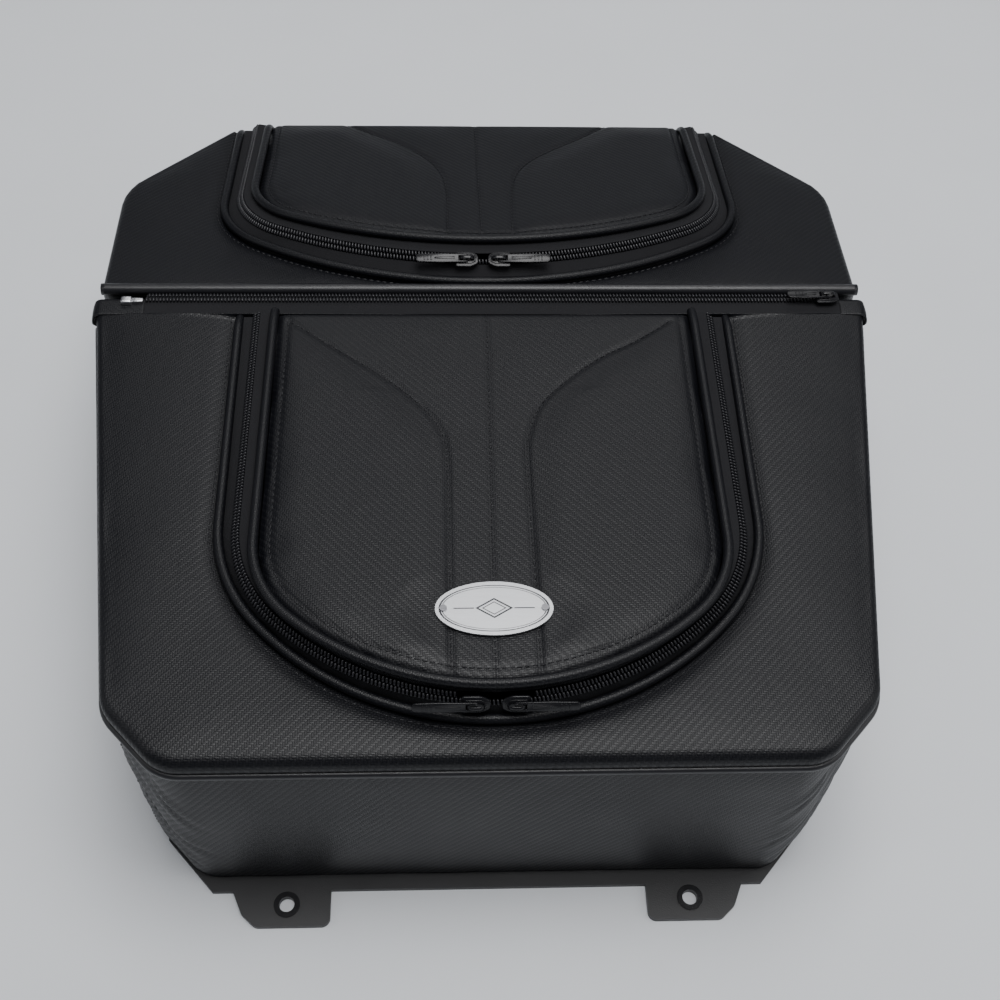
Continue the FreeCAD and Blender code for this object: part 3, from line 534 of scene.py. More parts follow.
# %% Dress the hard pieces
DRESSED = {
    POWDER_COAT: ["base_plate"],
    ENAMEL: ["tab_washers"],
    RIVET_METAL: ["floor_rivets", "plate_rivets"],
    PLATE: ["oval_plate"],
    BOARD: ["floor_board", "front_board", "back_board", "left_board", "right_board"],
    LINING: ["near_tray", "far_tray"],
    ZIP_TAPE: ["main_near_tape", "main_lid_tape", "near_outer_tape", "near_inner_tape",
               "far_outer_tape", "far_inner_tape"],
}
for finish, nodes in DRESSED.items():
    for node in nodes:
        for slot in bpy.data.objects[node].material_slots:
            slot.material = finish
print(sum(len(nodes) for nodes in DRESSED.values()), "hard pieces dressed")

# %% [markdown]
# ## The padded panels
# Each top section is a board with foam and vinyl over it, cut open for its pocket. Seen in section it
# is a flat cushion: it dips beside the pocket's piping, swells a little, and rolls over its outer edge.
# The piece is a ring of such sections, from the edge of the opening out to the edge of the panel.

# %% Panel builder
def closed_stations(runs, along, ends):
    """Stations round a closed outline: the open track, then straight back along its open side."""
    front = walk(runs, along)
    back = walk([line(front[-1][0], front[0][0])], ends)
    corners = [(a + b) / (1 + a.dot(b)) for a, b in
               ((front[-1][1], back[0][1]), (back[-1][1], front[0][1]))]
    start, turn = (front[0][0], corners[1]), (front[-1][0], corners[0])
    return [start] + front[1:-1] + [turn] + back[1:-1] + [start]


def panel(name, seat, mouth, corners, swell, rolls, depth=12.0):
    """A padded ring between a pocket's opening and the panel's outer edge.

    rolls are the radii of the outer edge on the sides that face -y, x and +y."""
    along, ends, dip = 420, 60, 1.7
    inner = closed_stations(TRACKS[mouth], along, ends)
    outer = closed_stations(corners, along, ends)
    low, side, high = rolls
    radii = [side + (low - side) * max(0.0, -n.y) ** 2 + (high - side) * max(0.0, n.y) ** 2
             for _, n in outer]

    def hem(offset, height):
        return [seat @ Vector((*((p + offset * n) * MM), height * MM)) for p, n in inner]

    def rim(inset, height, share=0.0, fall=0.0):
        return [seat @ Vector((*((p - (inset + share * r) * n) * MM), (height - fall * r) * MM))
                for (p, n), r in zip(outer, radii)]

    rows = [hem(-0.5, -depth + 1.5), hem(0.0, -depth + 3.0), hem(0.0, -dip - 2.6),
            hem(0.5, -dip - 1.0), hem(1.6, -dip - 0.3)]
    for t in (i / 28 for i in range(29)):
        t = t ** 1.35
        row = []
        for (p, n), (q, m), r in zip(inner, outer, radii):
            a, b = p + 3.2 * n, q - r * m
            here, wide = a.lerp(b, t), (b - a).length
            crown = swell * min(1.0, wide / 60) * math.sin(math.pi * min(1.0, t * 1.04)) ** 0.7
            crown -= dip * math.exp(-(t * wide / 6.5) ** 2)
            crown += 0.4 * noise.noise(Vector((here.x, here.y, 3.0)) * 0.02)
            row.append(seat @ Vector((*(here * MM), crown * MM)))
        rows.append(row)
    for turn in (math.radians(9 * i) for i in range(1, 11)):
        rows.append(rim(0.0, 0.0, 1 - math.sin(turn), 1 - math.cos(turn)))
    rows += [rim(0.3, -depth + 0.4), rim(2.0, -depth + 0.1), rows[0]]
    unseat = seat.inverted()
    piece = shell(name, rows, flat=lambda p: (unseat @ p).to_2d())
    piece.data.materials.append(BODY_VINYL)
    print(f"{name}: {len(piece.data.polygons)} faces")
    return piece


# %% [markdown]
# The near panel stays with the bag and the far one is the lid, so each takes its own body.

# %% Near panel and lid panel
NEAR_EDGE = [(-280, 7), (-237, -302), (-200, -341), (200, -341), (237, -302), (280, 7)]
FAR_SIDE = [(280, -247), (287, -115), (286.5, -103), (284, -92), (280, -82), (273, -72), (212, 8)]
FAR_EDGE = [(-x, y) for x, y in reversed(FAR_SIDE)] + FAR_SIDE
near_panel = panel("near_panel_padded", NEAR_SEAT, "near_outer", rounded_track(NEAR_EDGE, 30),
                   1.8, (9.5, 5.5, 1.8))
lid_panel = panel("lid_panel_padded", FAR_SEAT, "far_outer", rounded_track(FAR_EDGE, 14),
                  2.0, (2.5, 6.0, 10.0))
for piece, body, node in ((near_panel, "bag", "near_panel"), (lid_panel, "lid", "lid_panel")):
    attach(piece, body)
    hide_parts(node)

# %% [markdown]
# ## The padded wall
# The wall is one long quilted strip that runs all the way round, with four upright seams. Its vinyl is
# pulled tight at the top and slack lower down, so it bellies out a little, and at the cut-off corners
# the slack gathers in slanting creases, deeper at the front. The shell is a stack of rings: up the
# outside, over the top edge, and down the inside.

# %% Wall shell
SLOPES = ((RIDGE_Y, RIDGE_HEIGHT, NEAR_SLOPE), (TAIL_Y, TAIL_HEIGHT, FAR_SLOPE))
COVER_THICK = 12.3


def underside(y):
    """Height of the underside of the top sections over a line across the bag, in millimetres."""
    heights = []
    for at_y, at_z, slope in SLOPES:
        tilt = math.radians(slope)
        heights.append(at_z + math.tan(tilt) * (y - at_y) - COVER_THICK / math.cos(tilt))
    return min(heights)


def on_plan(top_y, slope, depth):
    """Where a depth along a sloping section falls on the plan."""
    return top_y - math.cos(math.radians(slope)) * depth


SHOULDER_Y = on_plan(RIDGE_Y, NEAR_SLOPE, 318)


def flat_outline():
    """The bag's outline seen from above, from the middle of the tail round and back."""
    half = [(200, on_plan(RIDGE_Y, NEAR_SLOPE, 357)), (237, SHOULDER_Y), (280, RIDGE_Y),
            (288, on_plan(TAIL_Y, FAR_SLOPE, 101)), (212, on_plan(TAIL_Y, FAR_SLOPE, 2))]
    left = [(-x, y) for x, y in reversed(half)]
    tail = (0, half[-1][1])
    return rounded_track([tail] + left + half + [tail], 30)


WALL_TRACK = flat_outline()
WALL_LENGTH = reach(WALL_TRACK)
# Each crease: its start from the corner, its height there, its run, its drop and its depth.
CREASES = [(-18, 180, 34, -30, 3.0), (-24, 158, 40, -46, 3.6), (-26, 130, 38, -46, 4.0),
           (-18, 104, 36, -44, 3.4), (-26, 76, 38, -34, 3.2), (-8, 54, 34, -26, 2.8),
           (8, 146, 28, -38, 2.4), (12, 88, 28, -30, 2.2)]


def wall_marks(count):
    """Where along the wall the front corners, the seams and the rear corners are."""
    stations = walk(WALL_TRACK, count)
    step = WALL_LENGTH / count

    def nearest(x, y):
        return step * min(range(count), key=lambda i: (stations[i][0] - Vector((x, y))).length)

    seams = [nearest(side * x, y) for side in (-1, 1) for x, y in ((238, SHOULDER_Y + 6), (288, 221))]
    corners, rear = ([(nearest(side * x, y), side) for side in (-1, 1)]
                     for x, y in ((218.5, -273), (250, 276)))
    return corners, seams, rear


def crease_depth(s, z, corners, strength=1.0):
    """How far the creases at the corners press the vinyl in, in millimetres."""
    depth = 0.0
    for at, side in corners:
        for start, height, run, drop, deep in CREASES:
            t = (side * (at - s) - start) / run
            if -0.6 < t < 1.6:
                off = z - (height + drop * t)
                fade = math.exp(-((t - 0.5) / 0.55) ** 2)
                depth += strength * deep * fade * (math.exp(-(off / 3.6) ** 2)
                                                   - 0.5 * math.exp(-((off - 9) / 6.0) ** 2))
    return depth


def wall_shell():
    """The four padded walls as one quilted shell."""
    count, low, thick = 800, 4.4, 8.0
    stations = walk(WALL_TRACK, count)
    corners, seams, rear = wall_marks(count)
    step = WALL_LENGTH / count
    tops = [underside(p.y) for p, _ in stations]

    def ring(inset, level, bulge=False):
        row = []
        for i, ((p, n), top) in enumerate(zip(stations, tops)):
            z = low + (top - 0.4 - low) * level
            out = -inset
            if bulge:
                s = i * step
                seam = min(abs(s - at) for at in seams)
                side = min(1.0, seam / 45)
                out += (3.4 * side + 0.8) * math.sin(math.pi * min(1.0, level * 1.02)) ** 0.8
                out += 0.7 * noise.noise(Vector((p.x, p.y, 1.6 * z)) * 0.013)
                out += 0.30 * noise.noise(Vector((p.x, p.y, 0.7 * z + 90)) * 0.045)
                out -= 1.8 * math.exp(-(seam / 2.6) ** 2)
                out -= crease_depth(s, z, corners) + crease_depth(s, z, rear, 0.55)
            place = p + out * n
            row.append(Vector((place.x, place.y, z)) * MM)
        return row

    rows = [ring(6.5, 0.0), ring(4.9, 0.002), ring(4.1, 0.012)]
    rows += [ring(4.0, 0.02 + 0.965 * j / 40, True) for j in range(41)]
    rows += [ring(4.6, 0.994), ring(6.0, 1.0), ring(4.0 + thick - 1.2, 1.0),
             ring(4.0 + thick, 0.992), ring(4.0 + thick, 0.66), ring(4.0 + thick, 0.33),
             ring(4.0 + thick, 0.0)]
    piece = shell("padded_wall", rows + [rows[0]])
    piece.data.materials.append(BODY_VINYL)
    print(f"padded_wall: {len(piece.data.polygons)} faces round {WALL_LENGTH:.0f} mm")
    return piece


padded_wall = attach(wall_shell(), "bag")
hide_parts("front_wall", "back_wall", "left_wall", "right_wall")

# %% [markdown]
# ## The quilted flaps
# A pocket flap is foam between two layers of vinyl. Three seams run down it and pull the vinyl to the
# board, so the foam stands up between them. Cloth simulation finds that shape: the block is remeshed
# evenly, the seams and the underside are pinned, and air pressure lifts the rest for a few frames.

# %% Seam lines on the flaps
SEAMS = {
    "near": [
        [(1, 20), (1, 100), (0.5, 200), (0, 318)],
        [(-138, 27), (-109, 50), (-74, 77), (-48, 102), (-33, 125), (-28, 150), (-27, 230),
         (-26, 318)],
        [(132, 27), (108, 45), (80, 62), (54, 84), (36, 105), (28, 127), (25, 150), (26, 230),
         (27, 318)],
    ],
    "far": [
        [(-2, 12), (-1, 120), (0, 246)],
        [(-111, 15), (-92, 31), (-69, 49), (-52, 67), (-38, 88), (-29, 115), (-26, 150),
         (-26, 205), (-26, 246)],
        [(111, 15), (95, 32), (78, 48), (58, 66), (42, 84), (30, 108), (25, 140), (23, 205),
         (23, 246)],
    ],
}
def smooth_line(points, gap):
    """Points about one gap apart on a smooth curve through the given ones."""
    points = [Vector(p) for p in points]
    dense = []
    for i in range(len(points) - 1):
        a, b, c, d = (points[max(0, min(len(points) - 1, i + k))] for k in (-1, 0, 1, 2))
        for k in range(24):
            t = k / 24
            dense.append(0.5 * (2 * b + (c - a) * t + (2 * a - 5 * b + 4 * c - d) * t ** 2
                                + (3 * b - a - 3 * c + d) * t ** 3))
    dense.append(points[-1])
    far = np.cumsum([0.0] + [(q - p).length for p, q in zip(dense, dense[1:])])
    wanted = np.linspace(0, far[-1], max(2, int(round(far[-1] / gap)) + 1))
    across, along = [p.x for p in dense], [p.y for p in dense]
    return [Vector((np.interp(w, far, across), np.interp(w, far, along))) for w in wanted]


def seam_lines(side):
    """The three seams in the pocket's own plan, nose towards -y."""
    start = STARTS[side]
    return [smooth_line([(x, start - depth) for x, depth in line], 2.0) for line in SEAMS[side]]


# %% [markdown]
# A flap begins as a plain block of foam, remeshed into even cells that the cloth can stretch.

# %% The block of foam
RISES = {"near": 3.03, "far": 3.15}
FLAP_TOP, FLAP_BASE, FLAP_INSET = 11.6, 1.5, 1.6


def flap_top(side, y):
    """Height of the flap's top above the panel, in millimetres."""
    return FLAP_TOP - math.tan(math.radians(RISES[side])) * y


def flap_block(side):
    """A plain wedge of foam with rounded edges, in the pocket's own frame, in metres."""
    bm = bmesh.new()
    ring = [p - FLAP_INSET * n for p, n in walk(TRACKS[f"{side}_inner"], 160)]
    ring[0].y = ring[-1].y = -2.0
    bmesh.ops.create_circle(bm, cap_ends=True, segments=len(ring), radius=1.0)
    for vert, place in zip(list(bm.verts), ring):
        vert.co = (place.x * MM, place.y * MM, (FLAP_BASE + 0.6) * MM)
    top = bmesh.ops.extrude_face_region(bm, geom=bm.faces[:])["geom"]
    for vert in (item for item in top if isinstance(item, bmesh.types.BMVert)):
        vert.co.z = (flap_top(side, vert.co.y / MM) - 1.2) * MM
    outward(bm)
    rim = [edge for edge in bm.edges if len(edge.link_faces) == 2
           and min(v.co.z for v in edge.verts) > (FLAP_BASE + 2) * MM
           and any(len(face.verts) > 4 for face in edge.link_faces)]
    bmesh.ops.bevel(bm, geom=rim, offset=3 * MM, segments=4, profile=0.5, affect="EDGES",
                    material=-1)
    return keep(bm, f"{side}_flap_block")


# %% [markdown]
# The seams are pinned and the foam is blown up with pressure, so it swells only between them.

# %% Blow it up between its seams
def inflate(piece, pins, voxel, cap):
    """Remesh a closed piece and let cloth pressure swell what isn't pinned."""
    remesh = piece.modifiers.new("even", "REMESH")
    remesh.mode, remesh.voxel_size = "VOXEL", voxel
    graph = bpy.context.evaluated_depsgraph_get()
    even = bpy.data.meshes.new_from_object(piece.evaluated_get(graph))
    piece.modifiers.clear()
    piece.data = even
    count = len(even.vertices)
    start = np.zeros(count * 3)
    even.vertices.foreach_get("co", start)
    start = start.reshape(-1, 3)
    group = piece.vertex_groups.new(name="held")
    for index, weight in enumerate(pins(start)):
        if weight > 0.01:
            group.add([index], float(weight), "REPLACE")
    cloth = piece.modifiers.new("cloth", "CLOTH")
    cloth.settings.quality = 4
    cloth.settings.use_pressure = True
    cloth.settings.uniform_pressure_force = 4.0
    cloth.settings.vertex_group_mass = "held"
    cloth.settings.tension_stiffness = cloth.settings.compression_stiffness = 12.0
    cloth.settings.bending_stiffness = 2.0
    cloth.settings.effector_weights.gravity = 0.0
    cloth.collision_settings.use_collision = False
    for number in range(1, 15):
        bpy.context.scene.frame_set(number)
    graph = bpy.context.evaluated_depsgraph_get()
    puffed = piece.evaluated_get(graph).to_mesh()
    end = np.zeros(count * 3)
    puffed.vertices.foreach_get("co", end)
    end = end.reshape(-1, 3)
    piece.modifiers.clear()
    bpy.context.scene.frame_set(1)
    move = end - start
    length = np.linalg.norm(move, axis=1, keepdims=True)
    print(f"  {piece.name}: swelled {length.max() / MM:.1f} mm before the cap")
    move *= np.minimum(1.0, cap / np.maximum(length, 1e-9))
    ends = np.zeros(len(even.edges) * 2, dtype=int)
    even.edges.foreach_get("vertices", ends)
    ends = ends.reshape(-1, 2)
    near_count = np.bincount(ends.ravel(), minlength=count)[:, None] + 1.0
    for _ in range(10):
        total = move.copy()
        for a, b in ((0, 1), (1, 0)):
            for axis in range(3):
                total[:, axis] += np.bincount(ends[:, a], move[ends[:, b], axis], count)
        move = total / near_count
    even.vertices.foreach_set("co", (start + move).ravel())
    return piece


def once_subdivided(piece):
    """Apply one level of subdivision."""
    finer = piece.modifiers.new("finer", "SUBSURF")
    finer.levels = finer.render_levels = 1
    graph = bpy.context.evaluated_depsgraph_get()
    mesh = bpy.data.meshes.new_from_object(piece.evaluated_get(graph))
    piece.modifiers.clear()
    piece.data = mesh
    return piece


def distance_to(line_points, plan):
    """Distance from each plan point to a line, in metres."""
    a = np.array([tuple(p) for p in line_points]) * MM
    best = np.full(len(plan), 9.0)
    for p, q in zip(a, a[1:]):
        along = q - p
        t = np.clip(((plan - p) @ along) / max(along @ along, 1e-12), 0, 1)
        best = np.minimum(best, np.linalg.norm(plan - (p + t[:, None] * along), axis=1))
    return best


# %% [markdown]
# The seams are then pressed in, and each flap takes the place of its CAD block.

# %% Stitch lines and pressed seams
def top_stitch_line(side):
    """Plan line of the stitches that run just inside the piping."""
    return [p - 10.5 * n for p, n in walk(TRACKS[f"{side}_inner"], 300)]


def flap(side):
    """One quilted flap, with its seams pressed in after the simulation."""
    seams = seam_lines(side)

    def pins(points):
        plan, tops = points[:, :2], flap_top(side, points[:, 1] / MM) * MM
        held = np.zeros(len(points))
        for seam in seams:
            held = np.maximum(held, np.exp(-(distance_to(seam, plan) / 0.004) ** 2))
        low = np.clip((tops - 0.006 - points[:, 2]) / 0.003, 0, 1)
        return np.maximum(held, low)

    piece = inflate(flap_block(side), pins, 0.0036, 0.0027)
    once_subdivided(piece)
    mesh = piece.data
    points = np.zeros(len(mesh.vertices) * 3)
    mesh.vertices.foreach_get("co", points)
    points = points.reshape(-1, 3)
    normals = np.zeros(len(mesh.vertices) * 3)
    mesh.vertices.foreach_get("normal", normals)
    upper = np.clip(normals.reshape(-1, 3)[:, 2] * 2 - 0.6, 0, 1)
    for number, seam in enumerate(seams):
        off = distance_to(seam, points[:, :2])
        deep, wide = (0.0007, 0.0016) if number == 0 else (0.0011, 0.0019)
        points[:, 2] -= upper * deep * np.exp(-(off / wide) ** 2)
    off = distance_to(top_stitch_line(side), points[:, :2])
    points[:, 2] -= upper * 0.0008 * np.exp(-(off / 0.0016) ** 2)
    off = distance_to([p for p, _ in walk(TRACKS[f"{side}_inner"], 300)], points[:, :2])
    points[:, 2] -= upper * 0.0024 * np.exp(-(off / 0.0060) ** 2)
    if side == "near":
        flat = np.clip(1.6 - np.hypot(points[:, 0] / 0.038, (points[:, 1] + 0.252) / 0.021), 0, 0.5) * 2
        level = flap_top(side, points[:, 1] / MM) * MM - 0.0002
        lower = np.minimum(points[:, 2], level)
        points[:, 2] = np.where(upper > 0.3, points[:, 2] + flat * (lower - points[:, 2]), points[:, 2])
    mesh.vertices.foreach_set("co", points.ravel())
    uv = mesh.uv_layers.get("weave") or mesh.uv_layers.new(name="weave")
    index = np.zeros(len(mesh.loops), dtype=int)
    mesh.loops.foreach_get("vertex_index", index)
    uv.data.foreach_set("uv", points[index, :2].ravel())
    piece.data.transform(SEATS[side])
    piece.data.shade_smooth()
    piece.name = piece.data.name = f"{side}_flap_quilted"
    piece.data.materials.clear()
    piece.data.materials.append(FLAP_VINYL)
    print(f"{piece.name}: {len(mesh.polygons)} faces")
    return piece


FLAPS = {}
for side in ("near", "far"):
    FLAPS[side] = flap(side)
    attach(FLAPS[side], f"{side}_flap")
    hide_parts(f"{side}_flap")

# %% [markdown]
# ## Stitches
# Every seam is sewn with thick thread, five millimetres a stitch, and each stitch is a small sausage
# that sinks a little into the vinyl. The sewn line is dropped onto the finished surface with a ray, so
# it follows the quilting.

# %% Stitch helper
def surface_under(pieces):
    """A search tree over the finished surfaces, modifiers not needed."""
    points, faces = [], []
    for piece in pieces:
        first = len(points)
        points += [v.co.copy() for v in piece.data.vertices]
        faces += [[first + i for i in face.vertices] for face in piece.data.polygons]
    return BVHTree.FromPolygons(points, faces)


def laid_on(tree, frame_of, plan):
    """Points of a plan line dropped straight down onto the surface, with the surface's normal."""
    down = (frame_of.to_3x3() @ Vector((0, 0, -1))).normalized()
    laid = []
    for p in plan:
        above = frame_of @ Vector((p.x * MM, p.y * MM, 60 * MM))
        spot, normal, _, _ = tree.ray_cast(above, down)
        if spot:
            laid.append((spot, normal))
    return laid


def stitches(name, lines, body, thick=0.55, length=3.6, every=2):
    """Rows of stitches; each stitch joins two points of its line."""
    bm = bmesh.new()
    made = 0
    for laid in lines:
        for (a, normal), (b, _) in list(zip(laid, laid[1:]))[::every]:
            along = (b - a).normalized()
            across = normal.cross(along).normalized()
            place = Matrix((along, across, along.cross(across))).transposed().to_4x4()
            place.translation = (a + b) / 2 + normal * thick * 0.35 * MM
            size = Matrix.Diagonal((length / 2 * MM, thick * MM, thick * MM, 1))
            bmesh.ops.create_uvsphere(bm, u_segments=6, v_segments=5, radius=1.0,
                                      matrix=place @ size @ Matrix.Rotation(math.pi / 2, 4, "Y"))
            made += 1
    outward(bm)
    piece = keep(bm, name)
    piece.data.materials.append(THREAD)
    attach(piece, body)
    print(f"{name}: {made} stitches")
    return piece


# %% [markdown]
# Each seam on a flap gets its own row of stitches.

# %% Stitch the flaps
for side in ("near", "far"):
    tree = surface_under([FLAPS[side]])
    inner = TRACKS[f"{side}_inner"]
    border = [p - 10.5 * n for p, n in walk(inner, round(reach(inner) / 2.5))]
    rows = [laid_on(tree, SEATS[side], border)]
    for seam in SEAMS[side]:
        plan = smooth_line([(x, STARTS[side] - depth) for x, depth in seam], 2.5)
        rows.append(laid_on(tree, SEATS[side], plan))
    stitches(f"{side}_flap_stitches", rows, f"{side}_flap")


# %% [markdown]
# A row also runs on each panel, just outside the piping of its pocket.

# %% Stitch the panels beside their pipings
for side, piece, body in (("near", near_panel, "bag"), ("far", lid_panel, "lid")):
    outer = TRACKS[f"{side}_outer"]
    border = [p + 6.2 * n for p, n in walk(outer, round(reach(outer) / 2.5))]
    rows = [laid_on(surface_under([piece]), SEATS[side], border)]
    stitches(f"{side}_panel_stitches", rows, body)


# %% [markdown]
# The wall's upright seams are sewn in the same thread, from the top down.

# %% Stitch the upright seams of the wall
def wall_stitches():
    """A row of stitches each side of every upright seam."""
    tree = surface_under([padded_wall])
    stations = walk(WALL_TRACK, 800)
    rows = []
    for at in wall_marks(800)[1]:
        p, n = stations[round(at / WALL_LENGTH * 800)]
        along = Vector((-n.y, n.x))
        for beside in (-6.0, 6.0):
            foot = (p + beside * along) * MM
            frame_of = Matrix(((along.x, 0, n.x, foot.x), (along.y, 0, n.y, foot.y),
                               (0, 1, 0, 0), (0, 0, 0, 1)))
            top = underside(p.y) - 10
            rows.append(laid_on(tree, frame_of, smooth_line([(0, 14), (0, 90), (0, top)], 2.5)))
    stitches("wall_seam_stitches", rows, "bag")


wall_stitches()


# %% [markdown]
# ## The lid's hinge
# The lid has no metal hinge. Its cover simply carries on over the tail edge and down onto the back wall,
# and bends there. A narrow strip stands for that bend; it is built once in place and is not attached
# to the bag or the lid.

# %% Hinge strip
HINGE_FOLD = [(320.3, 134), (320.8, 138.5), (321.4, 141.5), (322.1, 144), (322.4, 146.2), (322.3, 149)]


def hinge_strip():
    """A strip of cover, one millimetre thick, along the straight part of the tail edge."""
    fold = smooth_line(HINGE_FOLD, 1.2)
    rings = []
    for x in np.linspace(-198, 198, 100):
        ripple = 0.25 * noise.noise(Vector((x * 0.03, 5.0, 0.0)))
        outer = [Vector((x, p.x + 1.0 + ripple, p.y)) * MM for p in fold]
        inner = [Vector((x, p.x + 0.1, p.y)) * MM for p in fold]
        rings.append(outer + inner[::-1] + outer[:1])
    return capped("lid_hinge_strip", rings, BODY_VINYL)


strip = hinge_strip()
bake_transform(strip)
print(f"{strip.name}: {len(strip.data.polygons)} faces")

# %% [markdown]
# Behind the far pocket's pan, a strip of lining closes the last two centimetres up to the tail edge, so
# no light comes through the lid behind the flap's hinge. It is a grid that sags a little, thickened.

# %% Lining strip
def lining_strip():
    """A slightly sagging strip between the far pan and the tail edge."""
    bm = bmesh.new()
    bmesh.ops.create_grid(bm, x_segments=80, y_segments=8, size=0.5)
    for vert in bm.verts:
        sag = 0.9 * math.sin(math.pi * (vert.co.y + 0.5))
        sag += 0.2 * noise.noise(Vector((vert.co.x * 12, vert.co.y * 3, 2.0)))
        vert.co = (vert.co.x * 404, vert.co.y * 21.6 - 9.8, -1.9 - sag)
    bmesh.ops.solidify(bm, geom=bm.faces[:], thickness=1.2)
    outward(bm)
    bmesh.ops.transform(bm, matrix=FAR_SEAT @ Matrix.Scale(MM, 4), verts=bm.verts[:])
    piece = keep(bm, "far_hinge_lining")
    piece.data.materials.append(LINING)
    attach(piece, "lid")
    return piece


lining = lining_strip()
print(f"{lining.name}: {len(lining.data.polygons)} faces")

# %% [markdown]
# ## Pipings and beads
# A piping is the same embossed vinyl wrapped round a soft cord and sewn into the seam, so it is never
# quite even. It is swept as a tube whose radius wanders a little, and its ends dive into the seam that
# crosses them. The beads under the near panel's edge and along the lid are smooth vinyl.

# %% Tubes along a line
def tube(name, points, radius, finish, waver=0.03, sides=14):
    """A closed round tube through points, in metres, with a slightly uneven radius."""
    rows, around = [], [2 * math.pi * k / sides for k in range(sides + 1)]
    for i, point in enumerate(points):
        ahead = points[min(i + 1, len(points) - 1)] - points[max(i - 1, 0)]
        across = ahead.cross(Vector((0, 0, 1))).normalized()
        over = across.cross(ahead).normalized()
        size = radius * MM * (1 + waver * noise.noise(Vector((i * 0.11, radius, len(points)))))
        rows.append([point + size * (math.cos(a) * across + math.sin(a) * over) for a in around])
    return capped(name, rows, finish)


LIFTS = {"near_outer": (2.7, 0.0), "near_inner": (10.4, 3.03),
         "far_outer": (2.7, 0.0), "far_inner": (10.1, 3.15)}


def piping(side, which, body):
    """One pocket piping, with both ends tucked into the seam across them."""
    name = f"{side}_{which}"
    lift, rise = LIFTS[name]
    runs = TRACKS[name]
    climb, extra = math.tan(math.radians(rise)), 6.0 if which == "outer" else 1.5
    start = runs[0][1](0.0)
    plan = [Vector((start.x, extra - extra * k / 4)) for k in range(4)]
    plan += [p for p, _ in walk(runs, int(reach(runs) / 2.2))]
    plan += [Vector((-p.x, p.y)) for p in plan[3::-1]]
    points = []
    for p in plan:
        tuck = max(0.0, 1 - (extra - p.y) / 20) ** 2
        drop = tuck * (3.4 if name == "near_inner" else 7.0)
        points.append(SEATS[side] @ Vector((p.x * MM, p.y * MM, (lift - climb * p.y - drop) * MM)))
    piece = tube(f"{name}_roll", points, 3.3, FLAP_VINYL)
    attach(piece, body)
    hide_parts(f"{name}_piping")
    return piece


for side, outer_body in (("near", "bag"), ("far", "lid")):
    piping(side, "outer", outer_body)
    piping(side, "inner", f"{side}_flap")

# %% [markdown]
# Two smooth beads finish the near panel's front edge and the lid's edge beside the main zip.

# %% Edge beads
bead_track = rounded_track([(-279.7, -13), (-236.7, -318), (-199.7, -356.7), (199.7, -356.7),
                            (236.7, -318), (279.7, -13)], 30)
bead = tube("near_edge_bead", [NEAR @ Vector((p.x * MM, p.y * MM, -14.6 * MM))
                               for p, _ in walk(bead_track, 520)], 2.6, BEAD_VINYL)
lid_bead = tube("lid_front_bead", [FAR @ Vector((x * MM, -255.4 * MM, 3.0 * MM))
                                   for x in np.linspace(-278, 278, 180)], 4.3, BEAD_VINYL, 0.05)
for piece, body, node in ((bead, "bag", "near_seam_bead"), (lid_bead, "lid", "lid_edge_bead")):
    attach(piece, body)
    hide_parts(node)

# %% [markdown]
# ## Zip teeth
# A coil zip is two rows of nylon loops, each row sewn to its own tape and half a tooth out of step with
# the other, so their heads interlock along the middle. At this size the loops repeat every 2.45 mm.
# Each tooth is a small block with its edges taken off.

# %% Tooth rows
PITCH = 2.45


def tooth_row(name, places, body, node, long=3.7, wide=1.45, tall=2.5):
    """Teeth at the given places, given as (middle, direction across, direction up)."""
    bm = bmesh.new()
    for middle, across, up in places:
        along = up.cross(across).normalized()
        slanted = (across + 0.16 * along).normalized()
        side = up.cross(slanted).normalized()
        place = Matrix((slanted, side, up)).transposed().to_4x4()
        place.translation = middle
        size = Matrix.Diagonal((long * MM, wide * MM, tall * MM, 1))
        bmesh.ops.create_cube(bm, size=1.0, matrix=place @ size)
    bmesh.ops.bevel(bm, geom=bm.edges[:], offset=0.42 * MM, segments=1, profile=0.5,
                    affect="EDGES", material=-1)
    outward(bm)
    piece = keep(bm, name)
    piece.data.materials.append(NYLON)
    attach(piece, body)
    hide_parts(node)
    print(f"{name}: {len(places)} teeth")
    return piece


COIL = {"near": (5.5, 1.8), "far": (5.3, 2.0)}
SPREAD, STAGGER = 1.35, 1.45


def pocket_teeth(side, which):
    """The row of teeth on one edge of a pocket's zip."""
    lift, rise = COIL[side]
    plane = SEATS[side] @ shifted(0, 0, lift) @ turned(-rise)
    runs = TRACKS[f"{side}_coil"]
    count = int(reach(runs) / PITCH)
    sign = 1 if which == "outer" else -1
    half_step = 0.0 if which == "outer" else 0.5
    rotation = plane.to_3x3()
    places = []
    stations = walk(runs, 2 * count)
    for i in range(count):
        p, n = stations[min(2 * i + (1 if half_step else 0), 2 * count)]
        if which == "inner" and abs(p.x) < 22.5 and p.y < -150:
            continue
        across = (rotation @ Vector((n.x * SPREAD, n.y * SPREAD, -STAGGER))).normalized()
        up = (rotation @ Vector((n.x * STAGGER, n.y * STAGGER, SPREAD))).normalized()
        spot = plane @ (Vector((p.x + sign * SPREAD * n.x, p.y + sign * SPREAD * n.y,
                                -sign * STAGGER)) * MM)
        places.append((spot, across, up))
    return places


for side, outer_body in (("near", "bag"), ("far", "lid")):
    for which, body in (("outer", outer_body), ("inner", f"{side}_flap")):
        tooth_row(f"{side}_{which}_teeth", pocket_teeth(side, which), body, f"{side}_{which}_coil")

# %% [markdown]
# The main zip is the same kind, straight along the ridge. One row belongs to the bag and the other to
# the lid.

